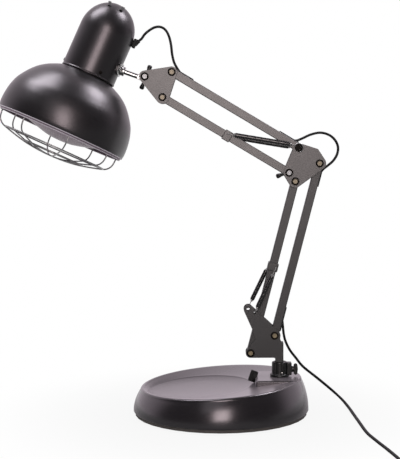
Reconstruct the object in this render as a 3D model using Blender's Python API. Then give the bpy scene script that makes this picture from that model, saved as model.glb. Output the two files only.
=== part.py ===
"""Infrared heat therapy lamp on a spring balanced arm, as separate working pieces.

Lengths are metres. The origin is the middle of the base on the ground, +X points from the
middle of the base to the post, the arm swings in the XZ plane, and -Y is the near side.
"""
import math

import bmesh
import bpy
from mathutils import Matrix, Vector

# Clearances and the fineness of round pieces
GAP = 0.0003
SLIP = 0.0003
CUT_OVERRUN = 0.003
FINE_SEGMENTS = 36
ROUND_SEGMENTS = 20
HOLE_SEGMENTS = 8
SMALL_SEGMENTS = 12
SHARP_ANGLE = math.radians(32)

# Base: a pressed shell with a shallow dish, closed below by a plate with a weight on it
BASE_RADIUS = 0.110
BASE_SHEET = 0.0024
PAD_THICKNESS = 0.0012
PAD_INSET = 0.012
PLATE_THICKNESS = 0.0040
PLATE_INSET = 0.002
RIM_HEIGHT = 0.0408
RIM_SLOPE = 0.066
WALL_DRAFT = 0.0085
WALL_STEP_SHARES = (0.0, 0.4, 0.75, 1.0)
CREST_DROP = 0.003
CREST_STEPS = ((0.0008, 0.0013), (0.0026, 0.0), (0.0044, 0.0006))
LEDGE_INSET = 0.0215
LEDGE_SHIFT = -0.006
LEDGE_DROP = 0.0045
DISH_INSET = 0.0465
DISH_SHIFT = -0.026
DISH_DROP = 0.0050
DISH_LIP = 0.0014
DISH_LIP_DROP = 0.0022
DISH_DEPTH = 0.0046
DISH_STEP_SHARES = ((0.84, 0.42), (0.5, 0.85), (0.0, 1.0))
WEIGHT_INSET = 0.034
WEIGHT_THICKNESS = 0.0145

# Plinth: the raised block at the post side of the base
PLINTH_TOP = 0.0470
PLINTH_DEPTH = 0.0110
PLINTH_FACE_BACK = 0.0305
PLINTH_HALF_WIDTH = 0.031
PLINTH_END_INSET = 0.0135
PLINTH_EDGE = 0.0013

# Switch in the plinth, with a grip knob on a tilted shaft
KNOB_REACH = 0.0025
KNOB_SINK = 0.0002
KNOB_TILT = math.radians(19)
KNOB_RADIUS = 0.0072
KNOB_THICKNESS = 0.0044
KNOB_GRIP_HEIGHT = 0.0040
KNOB_GRIP_WIDTH = 0.0036
KNOB_BORE_DEPTH = 0.0030
KNOB_RECESS = 0.0006
SHAFT_RADIUS = 0.0015
SWITCH_INSET = 0.0068
SWITCH_LENGTH = 0.0120
SWITCH_HALF_WIDTH = 0.0075
SWITCH_HEIGHT = 0.0105
SWITCH_TOP_COVER = 0.0022

# Post: the socket on the plinth, its clamp screw and the swivel pin
POST_INSET = 0.0360
SOCKET_FLANGE_RADIUS = 0.0120
SOCKET_FLANGE_HEIGHT = 0.0030
SOCKET_RADIUS = 0.00975
SOCKET_HEIGHT = 0.0181
SOCKET_EDGE = 0.0008
SOCKET_FLOOR = 0.0032
STUD_RADIUS = 0.0037
STUD_LENGTH = 0.0165
STUD_NUT_RADIUS = 0.0065
STUD_NUT_HEIGHT = 0.0035
BOSS_REACH = 0.0150
BOSS_HALF_WIDTH = 0.0055
BOSS_HALF_HEIGHT = 0.0062
CLAMP_RISE = 0.0085
SPLIT_OFFSET = 0.0052
SPLIT_WIDTH = 0.0009
SPLIT_DEPTH = 0.0016
PIN_RADIUS = 0.0047
PIN_HEIGHT = 0.0400
PIN_HEAD_HEIGHT = 0.0253
PIN_HEAD_EDGE = 0.0008
CLAMP_SCREW_RADIUS = 0.0022
CLAMP_TIP_GAP = 0.0008
LEAF_START = 0.0170
LEAF_END = 0.0230
LEAF_RADIUS = 0.0072
LEAF_HALF_THICKNESS = 0.0015

# Linkage: four square tubes between sheet metal plates
BAR_HEIGHT = 0.0101
BAR_WIDTH = 0.0100
BAR_WALL = 0.0012
BAR_EDGE = 0.0006
PLATE_SHEET = 0.0018
FRONT_PIVOT_BACK = 0.0365
FRONT_PIVOT_RISE = 0.0121
BRACKET_PIVOT_SPAN = 0.0301
BRACKET_PIVOT_RISE = 0.0220
LOWER_ARM_LENGTH = 0.2216
LOWER_ARM_LEAN = math.radians(14.6)
ELBOW_PIVOT_BACK = 0.0258
ELBOW_PIVOT_RISE = 0.0194
UPPER_ARM_LENGTH = 0.1820
UPPER_ARM_SLOPE = math.radians(31.08)
UPPER_PIVOT_BACK = 0.0118
UPPER_PIVOT_DROP = 0.0307
TILT_PIVOT_BACK = 0.0333
TILT_PIVOT_DROP = 0.0052

# Pivot bolts: pan head and washer on the near side, washer and nut on the far side
BOLT_RADIUS = 0.0030
BOLT_HEAD_RADIUS = 0.0028
BOLT_HEAD_HEIGHT = 0.0016
BOLT_HEAD_CROWN = 0.0006
WASHER_RADIUS = 0.0046
WASHER_THICKNESS = 0.0006
NUT_ACROSS = 0.0080
NUT_HEIGHT = 0.0032
WING_BOLT_RADIUS = 0.0019
WING_BOLT_LENGTH = 0.0105

# Wing knobs on the far side of the elbow and of the head plates
WING_HUB_RADIUS = 0.0062
WING_HUB_HEIGHT = 0.0135
WING_REACH = 0.0160
WING_HALF_THICKNESS = 0.0022
WING_LIFT = 0.0028
WING_RISE = 0.0070
ELBOW_WING_ANGLE = math.radians(-160)
HEAD_WING_ANGLE = math.radians(68)

# Bracket plate outline around its pivots
BRACKET_FOOT_RADIUS = 0.0061
BRACKET_HUB_RADIUS = 0.0073
BRACKET_STEM_LEFT = 0.0052
BRACKET_STEM_RIGHT = 0.0035
BRACKET_NOTCH = 0.0018
BRACKET_SHOULDER_ALONG = 0.0068
BRACKET_SHOULDER_DROP = 0.0045
BRACKET_SHOULDER_FALL = 0.0080
EAR_BACK = 0.0028
EAR_RISE = 0.0548
EAR_RADIUS = 0.0056
EAR_HOLE_RADIUS = 0.0023
EAR_SECOND_ALONG = 0.0079
EAR_SECOND_DROP = 0.0043
EAR_SECOND_RADIUS = 0.0015
WAIST_ALONG = 0.0022
WAIST_RISE = 0.0296
HEEL_ALONG = 0.0060
HEEL_RISE = 0.0172

# Elbow plate outline around its pivots
ELBOW_HUB_TOP = 0.0058
ELBOW_HUB_LOW = 0.0070
ELBOW_HUB_FRONT = 0.0080
ELBOW_HUB_REAR = 0.0080
ELBOW_CORNER_BACK = 0.0032
ELBOW_CORNER_RISE = 0.0160
ELBOW_CORNER_RADIUS = 0.0020

# Head plate outline around its pivots
HEAD_HUB_TOP = 0.0068
HEAD_HUB_LOW = 0.0082
HEAD_HUB_TILT = 0.0072

# Spring collars and the four springs in their sleeves
COLLAR_SHEET = 0.0012
COLLAR_LENGTH = 0.0105
LOWER_COLLAR_ALONG = 0.1115
UPPER_COLLAR_ALONG = 0.0888
COLLAR_HOLE_RADIUS = 0.0011
SPRING_SIDE = 0.0087
SPRING_RADIUS = 0.0021
HOOK_WIRE_RADIUS = 0.00055
SLEEVE_RADIUS = 0.0029
SLEEVE_BORE_RADIUS = 0.0024
SLEEVE_OVERLAP = 0.0012
HOOK_ARC_RADIUS = 0.0056
HOOK_ARC_STEPS = 8
HOOK_SIDE = 0.0080
FAR_HOLD_ACROSS = -0.0046
FAR_SLEEVE_START = 0.0077
FAR_SLEEVE_STOP = 0.0119
NEAR_HOLD_ACROSS = 0.0036
NEAR_SLEEVE_START = 0.0116
NEAR_SLEEVE_STOP = 0.0085
UPPER_SLEEVE_START = 0.0090
UPPER_SLEEVE_STOP = 0.0118
NEAR_UPPER_LIFT = 0.0026
FAR_UPPER_LIFT = -0.0006

# Head: the shade, the housing above it, and what they hold
HEAD_TILT = math.radians(24.2)
HEAD_LEAN = math.radians(4.7)
RIM_CENTRE_BACK = 0.1044
RIM_CENTRE_DROP = 0.0686
SHADE_RIM_RADIUS = 0.0815
SHADE_HEIGHT = 0.0780
SHADE_SHEET = 0.0012
NECK_CLEAR = 0.0004
SHADE_NECK_HEIGHT = 0.0110
SHADE_OUTER_SHARES = (
    (0.0, 1.0), (0.07, 1.022), (0.20, 1.018), (0.33, 0.989), (0.43, 0.949), (0.53, 0.888),
    (0.63, 0.792), (0.73, 0.675), (0.82, 0.542), (0.90, 0.371), (0.965, 0.174),
    (1.0, 0.039),
)
HOUSING_RADIUS = 0.0342
HOUSING_SHIFT = 0.0020
HOUSING_SHEET = 0.0012
HOUSING_STRAIGHT = 0.0565
HOUSING_CAP = 0.0385
CAP_STEPS = 6
HOUSING_LIFT = 0.0004
HOUSING_SEGMENTS = 26
VENT_RADIUS = 0.0016
VENT_HEIGHT_SHARE = 0.77
VENT_ANGLE = math.radians(22.5)
TAB_WIDTH = 0.0030
TAB_SHEET = 0.0009
TAB_HEIGHT = 0.0052
HOLDER_RADIUS = 0.0200
HOLDER_LENGTH = 0.0378
HOLDER_FLANGE_HEIGHT = 0.0025
HOLDER_TOP_GAP = 0.0035
BULB_FACE_DEPTH = 0.0095
BULB_RADIUS = 0.0605
BULB_LENGTH = 0.1300
BULB_WALL = 0.0013
BULB_VENT_RADIUS = 0.0030
BULB_SHARES = (
    (0.0, 0.0), (0.015, 0.33), (0.056, 0.66), (0.1, 0.89), (0.135, 0.985), (0.17, 1.0),
    (0.262, 0.926), (0.431, 0.74), (0.54, 0.575), (0.615, 0.455), (0.70, 0.345),
    (0.77, 0.281), (0.8, 0.218), (0.969, 0.218), (1.0, 0.1),
)
GUARD_WIRE_RADIUS = 0.0009
GUARD_RIM_RADIUS = 0.0790
GUARD_RIM_LIFT = 0.0015
GUARD_RING_RADIUS = 0.0655
GUARD_RING_DEPTH = 0.0195
GUARD_FLOOR_RADIUS = 0.0400
GUARD_FLOOR_DEPTH = 0.0272
GUARD_DEPTH = 0.0310
GUARD_RIBS = 8
GUARD_RIB_ANGLE = math.radians(29.4)
GUARD_RING_SEGMENTS = 28
GUARD_SIDES = 4
SHADE_SCREW_COUNT = 3
SHADE_SCREW_ANGLE = math.radians(-61)
SHADE_SCREW_HEIGHT = 0.0068
SHADE_SCREW_REACH = 0.0080
SHADE_SCREW_RADIUS = 0.0013
SHADE_SCREW_HEAD = 0.0022
SHADE_SCREW_LENGTH = 0.0076

# Tilt link: the chrome rod between the head plates and the housing
ROD_RADIUS = 0.0030
ROD_OFFSET = 0.0028
ROD_SLOPE = math.radians(19.6)
LUG_RADIUS = 0.0062
ROD_STOP_RADIUS = 0.0050
ROD_STOP_THICKNESS = 0.0018
ROD_STOP_CLEAR = 0.0014
SADDLE_SHEET = 0.0016
SADDLE_HALF_HEIGHT = 0.0080
SADDLE_HALF_WIDTH = 0.0150
SADDLE_COLLAR_RADIUS = 0.0058
SADDLE_COLLAR_LENGTH = 0.0036

# Cord entry of the housing
GROMMET_HEIGHT = 0.0591
GROMMET_HALF_TALL = 0.0050
GROMMET_HALF_WIDE = 0.0048
GROMMET_REACH = 0.0045
GROMMET_TURN = math.radians(40)
SPOUT_RADIUS = 0.0032
SPOUT_LENGTH = 0.0062
GROMMET_EDGE = 0.0009
GROMMET_NECK_RADIUS = 0.0037

# Cord: one twin lead from the housing through the arms to the plug
CORD_RADIUS = 0.0020
CORD_SPACING = 0.0115
SLOT_HALF_WIDTH = 0.0028
HEAD_SLOT = (0.0042, 0.0260)
ELBOW_SLOT_TOP = (0.0046, 0.0290)
ELBOW_SLOT_REAR = (0.0045, 0.0270)
TAIL_SLOT = (0.0080, 0.0360)
BAR_RUN_INSET = 0.0300
TAIL_RUN_INSET = 0.0351
CORD_END_GAP = 0.0003
HEAD_LOOP_ROUTE = (
    (-0.0910, 0.4748), (-0.0842, 0.4800),
    (-0.0780, 0.4828), (-0.0715, 0.4828), (-0.0656, 0.4790), (-0.0614, 0.4710),
    (-0.0590, 0.4605), (-0.0578, 0.4495), (-0.0553, 0.4390), (-0.0503, 0.4300),
    (-0.0452, 0.4232), (-0.0395, 0.4172),
)
ELBOW_LOOP_ROUTE = (
    (0.0778, 0.3458), (0.0856, 0.3434), (0.0945, 0.3420), (0.1030, 0.3450),
    (0.1128, 0.3494), (0.1247, 0.3517), (0.1352, 0.3490), (0.1426, 0.3429),
    (0.1465, 0.3346), (0.1458, 0.3257), (0.1412, 0.3175), (0.1350, 0.3118),
    (0.1288, 0.3070), (0.1240, 0.3012), (0.1186, 0.2940),
)
TAIL_ROUTE = (
    (0.0761, 0.0000, 0.1268), (0.0774, 0.0000, 0.1186), (0.0783, 0.0000, 0.1092),
    (0.0793, 0.0000, 0.1000), (0.0817, 0.0004, 0.0905), (0.0871, 0.0014, 0.0795),
    (0.0944, 0.0034, 0.0697), (0.1040, 0.0070, 0.0574),
)
MAINS_ROUTE = (
    (0.1228, 0.0200, 0.0402),
    (0.1420, 0.0330, 0.0222), (0.1555, 0.0315, 0.0098), (0.1625, 0.0125, 0.0033),
    (0.1650, -0.0150, 0.0021), (0.1672, -0.0560, 0.0021), (0.1703, -0.1067, 0.0021),
    (0.1765, -0.1430, 0.0021), (0.1835, -0.1780, 0.0021), (0.1905, -0.2180, 0.0022),
    (0.1929, -0.2430, 0.0026),
)
COIL_X = 0.2286
COIL_Y = -0.2620
COIL_INNER_RADIUS = 0.0195
COIL_PITCH = 0.0046
COIL_LAYER_TURNS = 3.5
COIL_CLIMB_TURNS = 0.5
COIL_CLIMB_DIP = 0.0011
COIL_FLOOR_HEIGHT = 0.0027
COIL_LAYER_HEIGHT = 0.0056
COIL_POINTS_PER_TURN = 24
COIL_TAIL = 0.0215
PLUG_LENGTH = 0.0300
PLUG_HALF_WIDTH = 0.0115
PLUG_SECTION_SHARES = ((0.0, 0.36), (0.28, 0.62), (0.55, 1.0), (1.0, 1.0))
PLUG_EDGE = 0.0020
BLADE_LENGTH = 0.0160
BLADE_HALF_WIDTH = 0.0031
BLADE_HALF_THICKNESS = 0.00075
BLADE_SPACING = 0.0127


def scene_cleared():
    for item in list(bpy.data.objects):
        bpy.data.objects.remove(item, do_unlink=True)


def material(name, colour, roughness, metallic):
    made = bpy.data.materials.new(name)
    made.use_nodes = True
    shader = made.node_tree.nodes["Principled BSDF"]
    shader.inputs["Base Color"].default_value = (*colour, 1.0)
    shader.inputs["Roughness"].default_value = roughness
    shader.inputs["Metallic"].default_value = metallic
    return made


def plane_point(x, z, y=0.0):
    return Vector((x, y, z))


def object_from(bm, name):
    bmesh.ops.recalc_face_normals(bm, faces=bm.faces)
    mesh = bpy.data.meshes.new(name)
    bm.to_mesh(mesh)
    bm.free()
    made = bpy.data.objects.new(name, mesh)
    bpy.context.scene.collection.objects.link(made)
    return made


def frame_at(centre, axis, side=None):
    """Matrix whose Z runs along the axis and whose X leans towards side."""
    z_axis = Vector(axis).normalized()
    hint = Vector(side) if side else Vector((0.0, -1.0, 0.0))
    if abs(hint.normalized().dot(z_axis)) > math.cos(math.radians(8)):
        hint = Vector((1.0, 0.0, 0.0))
    x_axis = (hint - z_axis * hint.dot(z_axis)).normalized()
    y_axis = z_axis.cross(x_axis)
    turned = Matrix((x_axis, y_axis, z_axis)).transposed().to_4x4()
    return Matrix.Translation(centre) @ turned


def bridge(bm, lower, upper):
    if len(lower) == 1:
        for index in range(len(upper)):
            bm.faces.new((lower[0], upper[index], upper[(index + 1) % len(upper)]))
        return
    if len(upper) == 1:
        for index in range(len(lower)):
            bm.faces.new((lower[index], upper[0], lower[(index + 1) % len(lower)]))
        return
    for index in range(len(lower)):
        following = (index + 1) % len(lower)
        bm.faces.new((lower[index], lower[following], upper[following], upper[index]))


def lathe(name, profile, placed, segments=ROUND_SEGMENTS, ring=False, hex_rows=()):
    """Turned solid. A profile row is (radius, height); ring closes the profile on itself."""
    bm = bmesh.new()
    rows = []
    for number, (radius, height) in enumerate(profile):
        if radius == 0.0:
            rows.append([bm.verts.new((0.0, 0.0, height))])
            continue
        row = []
        for index in range(segments):
            angle = 2.0 * math.pi * index / segments
            reach = radius
            if number in hex_rows:
                reach = radius / math.cos(angle % (math.pi / 3.0) - math.pi / 6.0)
            row.append(bm.verts.new((reach * math.cos(angle), reach * math.sin(angle), height)))
        rows.append(row)
    pairs = list(zip(rows, rows[1:]))
    if ring:
        pairs.append((rows[-1], rows[0]))
    for lower, upper in pairs:
        bridge(bm, lower, upper)
    bmesh.ops.transform(bm, matrix=placed, verts=bm.verts)
    return object_from(bm, name)


def cylinder(name, start, end, radius, segments=SMALL_SEGMENTS):
    axis = Vector(end) - Vector(start)
    profile = ((0.0, 0.0), (radius, 0.0), (radius, axis.length), (0.0, axis.length))
    return lathe(name, profile, frame_at(start, axis), segments)


def block(name, low, high, placed=None, edge=0.0):
    bm = bmesh.new()
    bmesh.ops.create_cube(bm, size=1.0)
    low, high = Vector(low), Vector(high)
    bmesh.ops.scale(bm, vec=high - low, verts=bm.verts)
    bmesh.ops.translate(bm, vec=(high + low) / 2.0, verts=bm.verts)
    if edge:
        bmesh.ops.bevel(bm, geom=bm.edges, offset=edge, segments=1, affect="EDGES")
    if placed:
        bmesh.ops.transform(bm, matrix=placed, verts=bm.verts)
    return object_from(bm, name)


def prism(name, outline, y_low, y_high, edge=0.0):
    """Outline of (x, z) points in the arm plane, from y_low to y_high."""
    bm = bmesh.new()
    face = bm.faces.new([bm.verts.new((x, y_low, z)) for x, z in outline])
    grown = bmesh.ops.extrude_face_region(bm, geom=[face])
    moved = [item for item in grown["geom"] if isinstance(item, bmesh.types.BMVert)]
    bmesh.ops.translate(bm, vec=(0.0, y_high - y_low, 0.0), verts=moved)
    if edge:
        flat = [item for item in bm.faces if len(item.verts) == len(outline)]
        rims = list({item for face in flat for item in face.edges})
        bmesh.ops.bevel(bm, geom=rims, offset=edge, segments=1, affect="EDGES")
    return object_from(bm, name)


def boolean(target, tool, operation):
    modifier = target.modifiers.new(operation, "BOOLEAN")
    modifier.operation = operation
    modifier.solver = "EXACT"
    modifier.object = tool
    graph = bpy.context.evaluated_depsgraph_get()
    mesh = bpy.data.meshes.new_from_object(target.evaluated_get(graph))
    target.modifiers.clear()
    target.data = mesh
    bpy.data.objects.remove(tool, do_unlink=True)
    return target


def cut(target, *tools):
    for tool in tools:
        boolean(target, tool, "DIFFERENCE")
    return target


def join(target, *tools):
    for tool in tools:
        boolean(target, tool, "UNION")
    return target


def belt(circles, steps=5):
    """Outline round a chain of circles (x, z, radius), counter-clockwise; radius 0 is a corner."""
    count = len(circles)
    normals = []
    for index in range(count):
        x1, z1, r1 = circles[index]
        x2, z2, r2 = circles[(index + 1) % count]
        length = math.hypot(x2 - x1, z2 - z1)
        along = math.atan2(z2 - z1, x2 - x1)
        normals.append(along - math.acos((r1 - r2) / length))
    outline = []
    for index, (x, z, radius) in enumerate(circles):
        if radius == 0.0:
            outline.append((x, z))
            continue
        first = normals[index - 1]
        sweep = (normals[index] - first) % (2.0 * math.pi)
        for step in range(steps + 1):
            angle = first + sweep * step / steps
            outline.append((x + radius * math.cos(angle), z + radius * math.sin(angle)))
    return outline


def smooth_route(points, spacing):
    """Points an even spacing apart on a smooth curve through the route's points."""
    points = [Vector(point) for point in points]
    padded = [2.0 * points[0] - points[1]] + points + [2.0 * points[-1] - points[-2]]
    dense = []
    for index in range(len(points) - 1):
        before, start, end, after = padded[index:index + 4]
        for step in range(16):
            t = step / 16.0
            dense.append(0.5 * (2.0 * start + (end - before) * t
                                + (2.0 * before - 5.0 * start + 4.0 * end - after) * t * t
                                + (3.0 * start - before - 3.0 * end + after) * t ** 3))
    dense.append(points[-1])
    total = sum((b - a).length for a, b in zip(dense, dense[1:]))
    count = max(2, round(total / spacing))
    return evenly(dense, count)


def evenly(dense, count):
    lengths = [0.0]
    for a, b in zip(dense, dense[1:]):
        lengths.append(lengths[-1] + (b - a).length)
    result = [dense[0].copy()]
    place = 0
    for number in range(1, count):
        target = lengths[-1] * number / count
        while lengths[place + 1] < target:
            place += 1
        share = (target - lengths[place]) / (lengths[place + 1] - lengths[place])
        result.append(dense[place].lerp(dense[place + 1], share))
    result.append(dense[-1].copy())
    return result


def route_length(points):
    return sum((Vector(b) - Vector(a)).length for a, b in zip(points, points[1:]))


def least_gap(points, radius, apart):
    """Least clear distance between stretches of a tube that are some points apart."""
    least = None
    for first in range(len(points)):
        for second in range(first + apart, len(points)):
            clear = (points[first] - points[second]).length - 2.0 * radius
            least = clear if least is None else min(least, clear)
    return least


def wire_mesh(name, points, radius, sides, closed=False):
    """Tube along points as a closed mesh, its section carried without twist."""
    points = [Vector(point) for point in points]
    count = len(points)
    bm = bmesh.new()
    rows = []
    normal = None
    for index in range(count):
        if closed:
            along = (points[(index + 1) % count] - points[index - 1]).normalized()
        else:
            along = (points[min(index + 1, count - 1)] - points[max(index - 1, 0)]).normalized()
        if normal is None:
            normal = along.orthogonal()
        normal = (normal - along * normal.dot(along)).normalized()
        other = along.cross(normal)
        row = []
        for side in range(sides):
            angle = 2.0 * math.pi * side / sides
            offset = normal * math.cos(angle) + other * math.sin(angle)
            row.append(bm.verts.new(points[index] + offset * radius))
        rows.append(row)
    for lower, upper in zip(rows, rows[1:]):
        bridge(bm, lower, upper)
    if closed:
        shift = min(range(sides), key=lambda step: (rows[-1][0].co - rows[0][step].co).length)
        bridge(bm, rows[-1], rows[0][shift:] + rows[0][:shift])
    else:
        bm.faces.new(rows[0])
        bm.faces.new(rows[-1])
    return object_from(bm, name)


class Assembly:
    """Keeps the joint empties, so each piece has its origin on its body's axis."""

    def __init__(self):
        self.pivots = {}
        self.empties = {}

    def body(self, name, pivot, parent=None):
        empty = bpy.data.objects.new(name + "_axis", None)
        bpy.context.scene.collection.objects.link(empty)
        place = Vector(pivot)
        if parent:
            empty.parent = self.empties[parent]
            place = place - self.pivots[parent]
        empty.location = place
        self.pivots[name] = Vector(pivot)
        self.empties[name] = empty

    def add(self, made, body, look):
        made.data.transform(Matrix.Translation(-self.pivots[body]))
        made.data.materials.clear()
        made.data.materials.append(look)
        made.data.shade_smooth()
        made.data.set_sharp_from_angle(angle=SHARP_ANGLE)
        made.parent = self.empties[body]
        return made

    def tube(self, name, points, radius, body, look, resolution=2, radii=None):
        curve = bpy.data.curves.new(name, "CURVE")
        curve.dimensions = "3D"
        curve.bevel_depth = radius
        curve.bevel_resolution = resolution
        curve.use_fill_caps = True
        spline = curve.splines.new("POLY")
        spline.points.add(len(points) - 1)
        for number, point in enumerate(points):
            spline.points[number].co = (*(Vector(point) - self.pivots[body]), 1.0)
            if radii:
                spline.points[number].radius = radii[number] / radius
        curve.materials.append(look)
        made = bpy.data.objects.new(name, curve)
        bpy.context.scene.collection.objects.link(made)
        made.parent = self.empties[body]
        return made


# Sizes and places that follow from the sizes above
Y_AXIS = Vector((0.0, 1.0, 0.0))
CREST_RADIUS = BASE_RADIUS - WALL_DRAFT
LEDGE_RADIUS = BASE_RADIUS - LEDGE_INSET
DISH_RADIUS = BASE_RADIUS - DISH_INSET
WEIGHT_RADIUS = BASE_RADIUS - WEIGHT_INSET
PLINTH_END_RADIUS = BASE_RADIUS - PLINTH_END_INSET
POST_X = BASE_RADIUS - POST_INSET
PLINTH_FACE_X = POST_X - PLINTH_FACE_BACK
KNOB_X = PLINTH_FACE_X - KNOB_REACH
KNOB_Z = PLINTH_TOP - KNOB_SINK
SWITCH_X = PLINTH_FACE_X + SWITCH_INSET
SHADE_NECK_RADIUS = HOUSING_RADIUS - HOUSING_SHEET - HOUSING_SHIFT - NECK_CLEAR
PLATE_INNER = BAR_WIDTH / 2.0 + GAP
PLATE_OUTER = PLATE_INNER + PLATE_SHEET
SOCKET_BASE = PLINTH_TOP + GAP
SOCKET_TOP = SOCKET_BASE + SOCKET_HEIGHT
PIVOT_E = plane_point(POST_X - FRONT_PIVOT_BACK, SOCKET_TOP + FRONT_PIVOT_RISE)
PIVOT_F = PIVOT_E + plane_point(BRACKET_PIVOT_SPAN, BRACKET_PIVOT_RISE)
LOWER_DIRECTION = plane_point(math.sin(LOWER_ARM_LEAN), math.cos(LOWER_ARM_LEAN))
PIVOT_C = PIVOT_E + LOWER_DIRECTION * LOWER_ARM_LENGTH
PIVOT_D = PIVOT_F + LOWER_DIRECTION * LOWER_ARM_LENGTH
PIVOT_A = PIVOT_D + plane_point(-ELBOW_PIVOT_BACK, ELBOW_PIVOT_RISE)
PIVOT_B = PIVOT_A + plane_point(-UPPER_PIVOT_BACK, -UPPER_PIVOT_DROP)
UPPER_DIRECTION = plane_point(-math.cos(UPPER_ARM_SLOPE), math.sin(UPPER_ARM_SLOPE))
PIVOT_U = PIVOT_A + UPPER_DIRECTION * UPPER_ARM_LENGTH
PIVOT_L = PIVOT_B + UPPER_DIRECTION * UPPER_ARM_LENGTH
PIVOT_T = PIVOT_U + plane_point(-TILT_PIVOT_BACK, -TILT_PIVOT_DROP)
HEAD_AXIS = plane_point(math.sin(HEAD_TILT), math.cos(HEAD_TILT))
HEAD_SIDE = plane_point(math.cos(HEAD_TILT), -math.sin(HEAD_TILT))
RIM_CENTRE = PIVOT_T + plane_point(-RIM_CENTRE_BACK, -RIM_CENTRE_DROP)
ROD_DIRECTION = plane_point(math.cos(ROD_SLOPE), -math.sin(ROD_SLOPE))
ROD_NORMAL = plane_point(math.sin(ROD_SLOPE), math.cos(ROD_SLOPE))
ROD_FOOT = PIVOT_T - ROD_NORMAL * ROD_OFFSET
LEANING = (Matrix.Translation(ROD_FOOT) @ Matrix.Rotation(-HEAD_LEAN, 4, ROD_DIRECTION)
           @ Matrix.Translation(-ROD_FOOT))
HEAD_FRAME = LEANING @ Matrix.Translation(RIM_CENTRE) @ Matrix(
    (HEAD_SIDE, Y_AXIS, HEAD_AXIS)).transposed().to_4x4()
HOUSING_FRAME = HEAD_FRAME @ Matrix.Translation((HOUSING_SHIFT, 0.0, 0.0))
HOUSING_BASE = SHADE_HEIGHT + HOUSING_LIFT
HOUSING_SHOULDER = HOUSING_BASE + HOUSING_STRAIGHT
CORD_WAY = LEANING.to_3x3() @ plane_point(math.cos(GROMMET_TURN), math.sin(GROMMET_TURN))
KNOB_AXIS = plane_point(-math.cos(KNOB_TILT), math.sin(KNOB_TILT))
KNOB_CENTRE = plane_point(KNOB_X, KNOB_Z)
CLAMP_HEIGHT = SOCKET_BASE + CLAMP_RISE
COLLAR_DEPTH = BAR_WIDTH / 2.0 + GAP + COLLAR_SHEET / 2.0


def rim_height(x):
    return RIM_HEIGHT + RIM_SLOPE * x


def dish_rows():
    """Top surface of the base shell from the ground edge inwards: centre x, radius, height."""
    ground = PAD_THICKNESS + GAP + PLATE_THICKNESS + GAP
    rows = []
    for share in WALL_STEP_SHARES:
        radius = BASE_RADIUS - WALL_DRAFT * share ** 2
        rows.append((0.0, radius, "wall", share, ground))
    for inset, drop in CREST_STEPS:
        rows.append((0.0, CREST_RADIUS - inset, "rim", drop, ground))
    rows.append((LEDGE_SHIFT, LEDGE_RADIUS, "rim", LEDGE_DROP, ground))
    rows.append((DISH_SHIFT, DISH_RADIUS, "rim", DISH_DROP, ground))
    rows.append((DISH_SHIFT, DISH_RADIUS - DISH_LIP, "rim", DISH_DROP + DISH_LIP_DROP, ground))
    for reach, fall in DISH_STEP_SHARES:
        drop = DISH_DROP + DISH_LIP_DROP + (DISH_DEPTH - DISH_LIP_DROP) * fall
        rows.append((DISH_SHIFT, (DISH_RADIUS - DISH_LIP) * reach, "rim", drop, ground))
    return rows


def shell_height(kind, value, ground, x):
    if kind == "rim":
        return rim_height(x) - value
    crest = rim_height(x) - CREST_DROP
    return ground + (crest - ground) * value


def shell_mesh(name):
    bm = bmesh.new()
    outer = []
    for shift, radius, kind, value, ground in dish_rows():
        if radius == 0.0:
            outer.append([bm.verts.new((shift, 0.0, shell_height(kind, value, ground, shift)))])
            continue
        row = []
        for index in range(FINE_SEGMENTS):
            angle = 2.0 * math.pi * index / FINE_SEGMENTS
            x = shift + radius * math.cos(angle)
            height = shell_height(kind, value, ground, x)
            row.append(bm.verts.new((x, radius * math.sin(angle), height)))
        outer.append(row)
    inner = []
    keep = [0, 2, 3, 6, 7, 8, 12]
    rows = dish_rows()
    for number in keep:
        shift, radius, kind, value, ground = rows[number]
        drop = 0.0 if kind == "wall" else BASE_SHEET
        inset = BASE_SHEET if number < 7 else 0.0
        if radius == 0.0:
            height = shell_height(kind, value, ground, shift) - drop
            inner.append([bm.verts.new((shift, 0.0, height))])
            continue
        row = []
        for index in range(FINE_SEGMENTS):
            angle = 2.0 * math.pi * index / FINE_SEGMENTS
            x = shift + (radius - inset) * math.cos(angle)
            height = shell_height(kind, value, ground, x) - drop
            if kind == "wall" and value == 1.0:
                height -= BASE_SHEET / 2.0
            row.append(bm.verts.new((x, (radius - inset) * math.sin(angle), height)))
        inner.append(row)
    for rows_of_skin in (outer, inner):
        for lower, upper in zip(rows_of_skin, rows_of_skin[1:]):
            bridge(bm, lower, upper)
    bridge(bm, outer[0], inner[0])
    return object_from(bm, name)


def plinth_outline():
    reach = PLINTH_END_RADIUS
    half = math.asin(PLINTH_HALF_WIDTH / reach)
    points = [(PLINTH_FACE_X, -PLINTH_HALF_WIDTH)]
    for step in range(9):
        angle = -half + 2.0 * half * step / 8.0
        points.append((reach * math.cos(angle), reach * math.sin(angle)))
    points.append((PLINTH_FACE_X, PLINTH_HALF_WIDTH))
    return points


def plinth_mesh(name):
    bm = bmesh.new()
    low = PLINTH_TOP - PLINTH_DEPTH
    face = bm.faces.new([bm.verts.new((x, y, low)) for x, y in plinth_outline()])
    grown = bmesh.ops.extrude_face_region(bm, geom=[face])
    moved = [item for item in grown["geom"] if isinstance(item, bmesh.types.BMVert)]
    bmesh.ops.translate(bm, vec=(0.0, 0.0, PLINTH_DEPTH), verts=moved)
    top = [item for item in bm.edges if all(vert.co.z > low for vert in item.verts)]
    bmesh.ops.bevel(bm, geom=top, offset=PLINTH_EDGE, segments=2, affect="EDGES")
    return object_from(bm, name)


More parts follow.
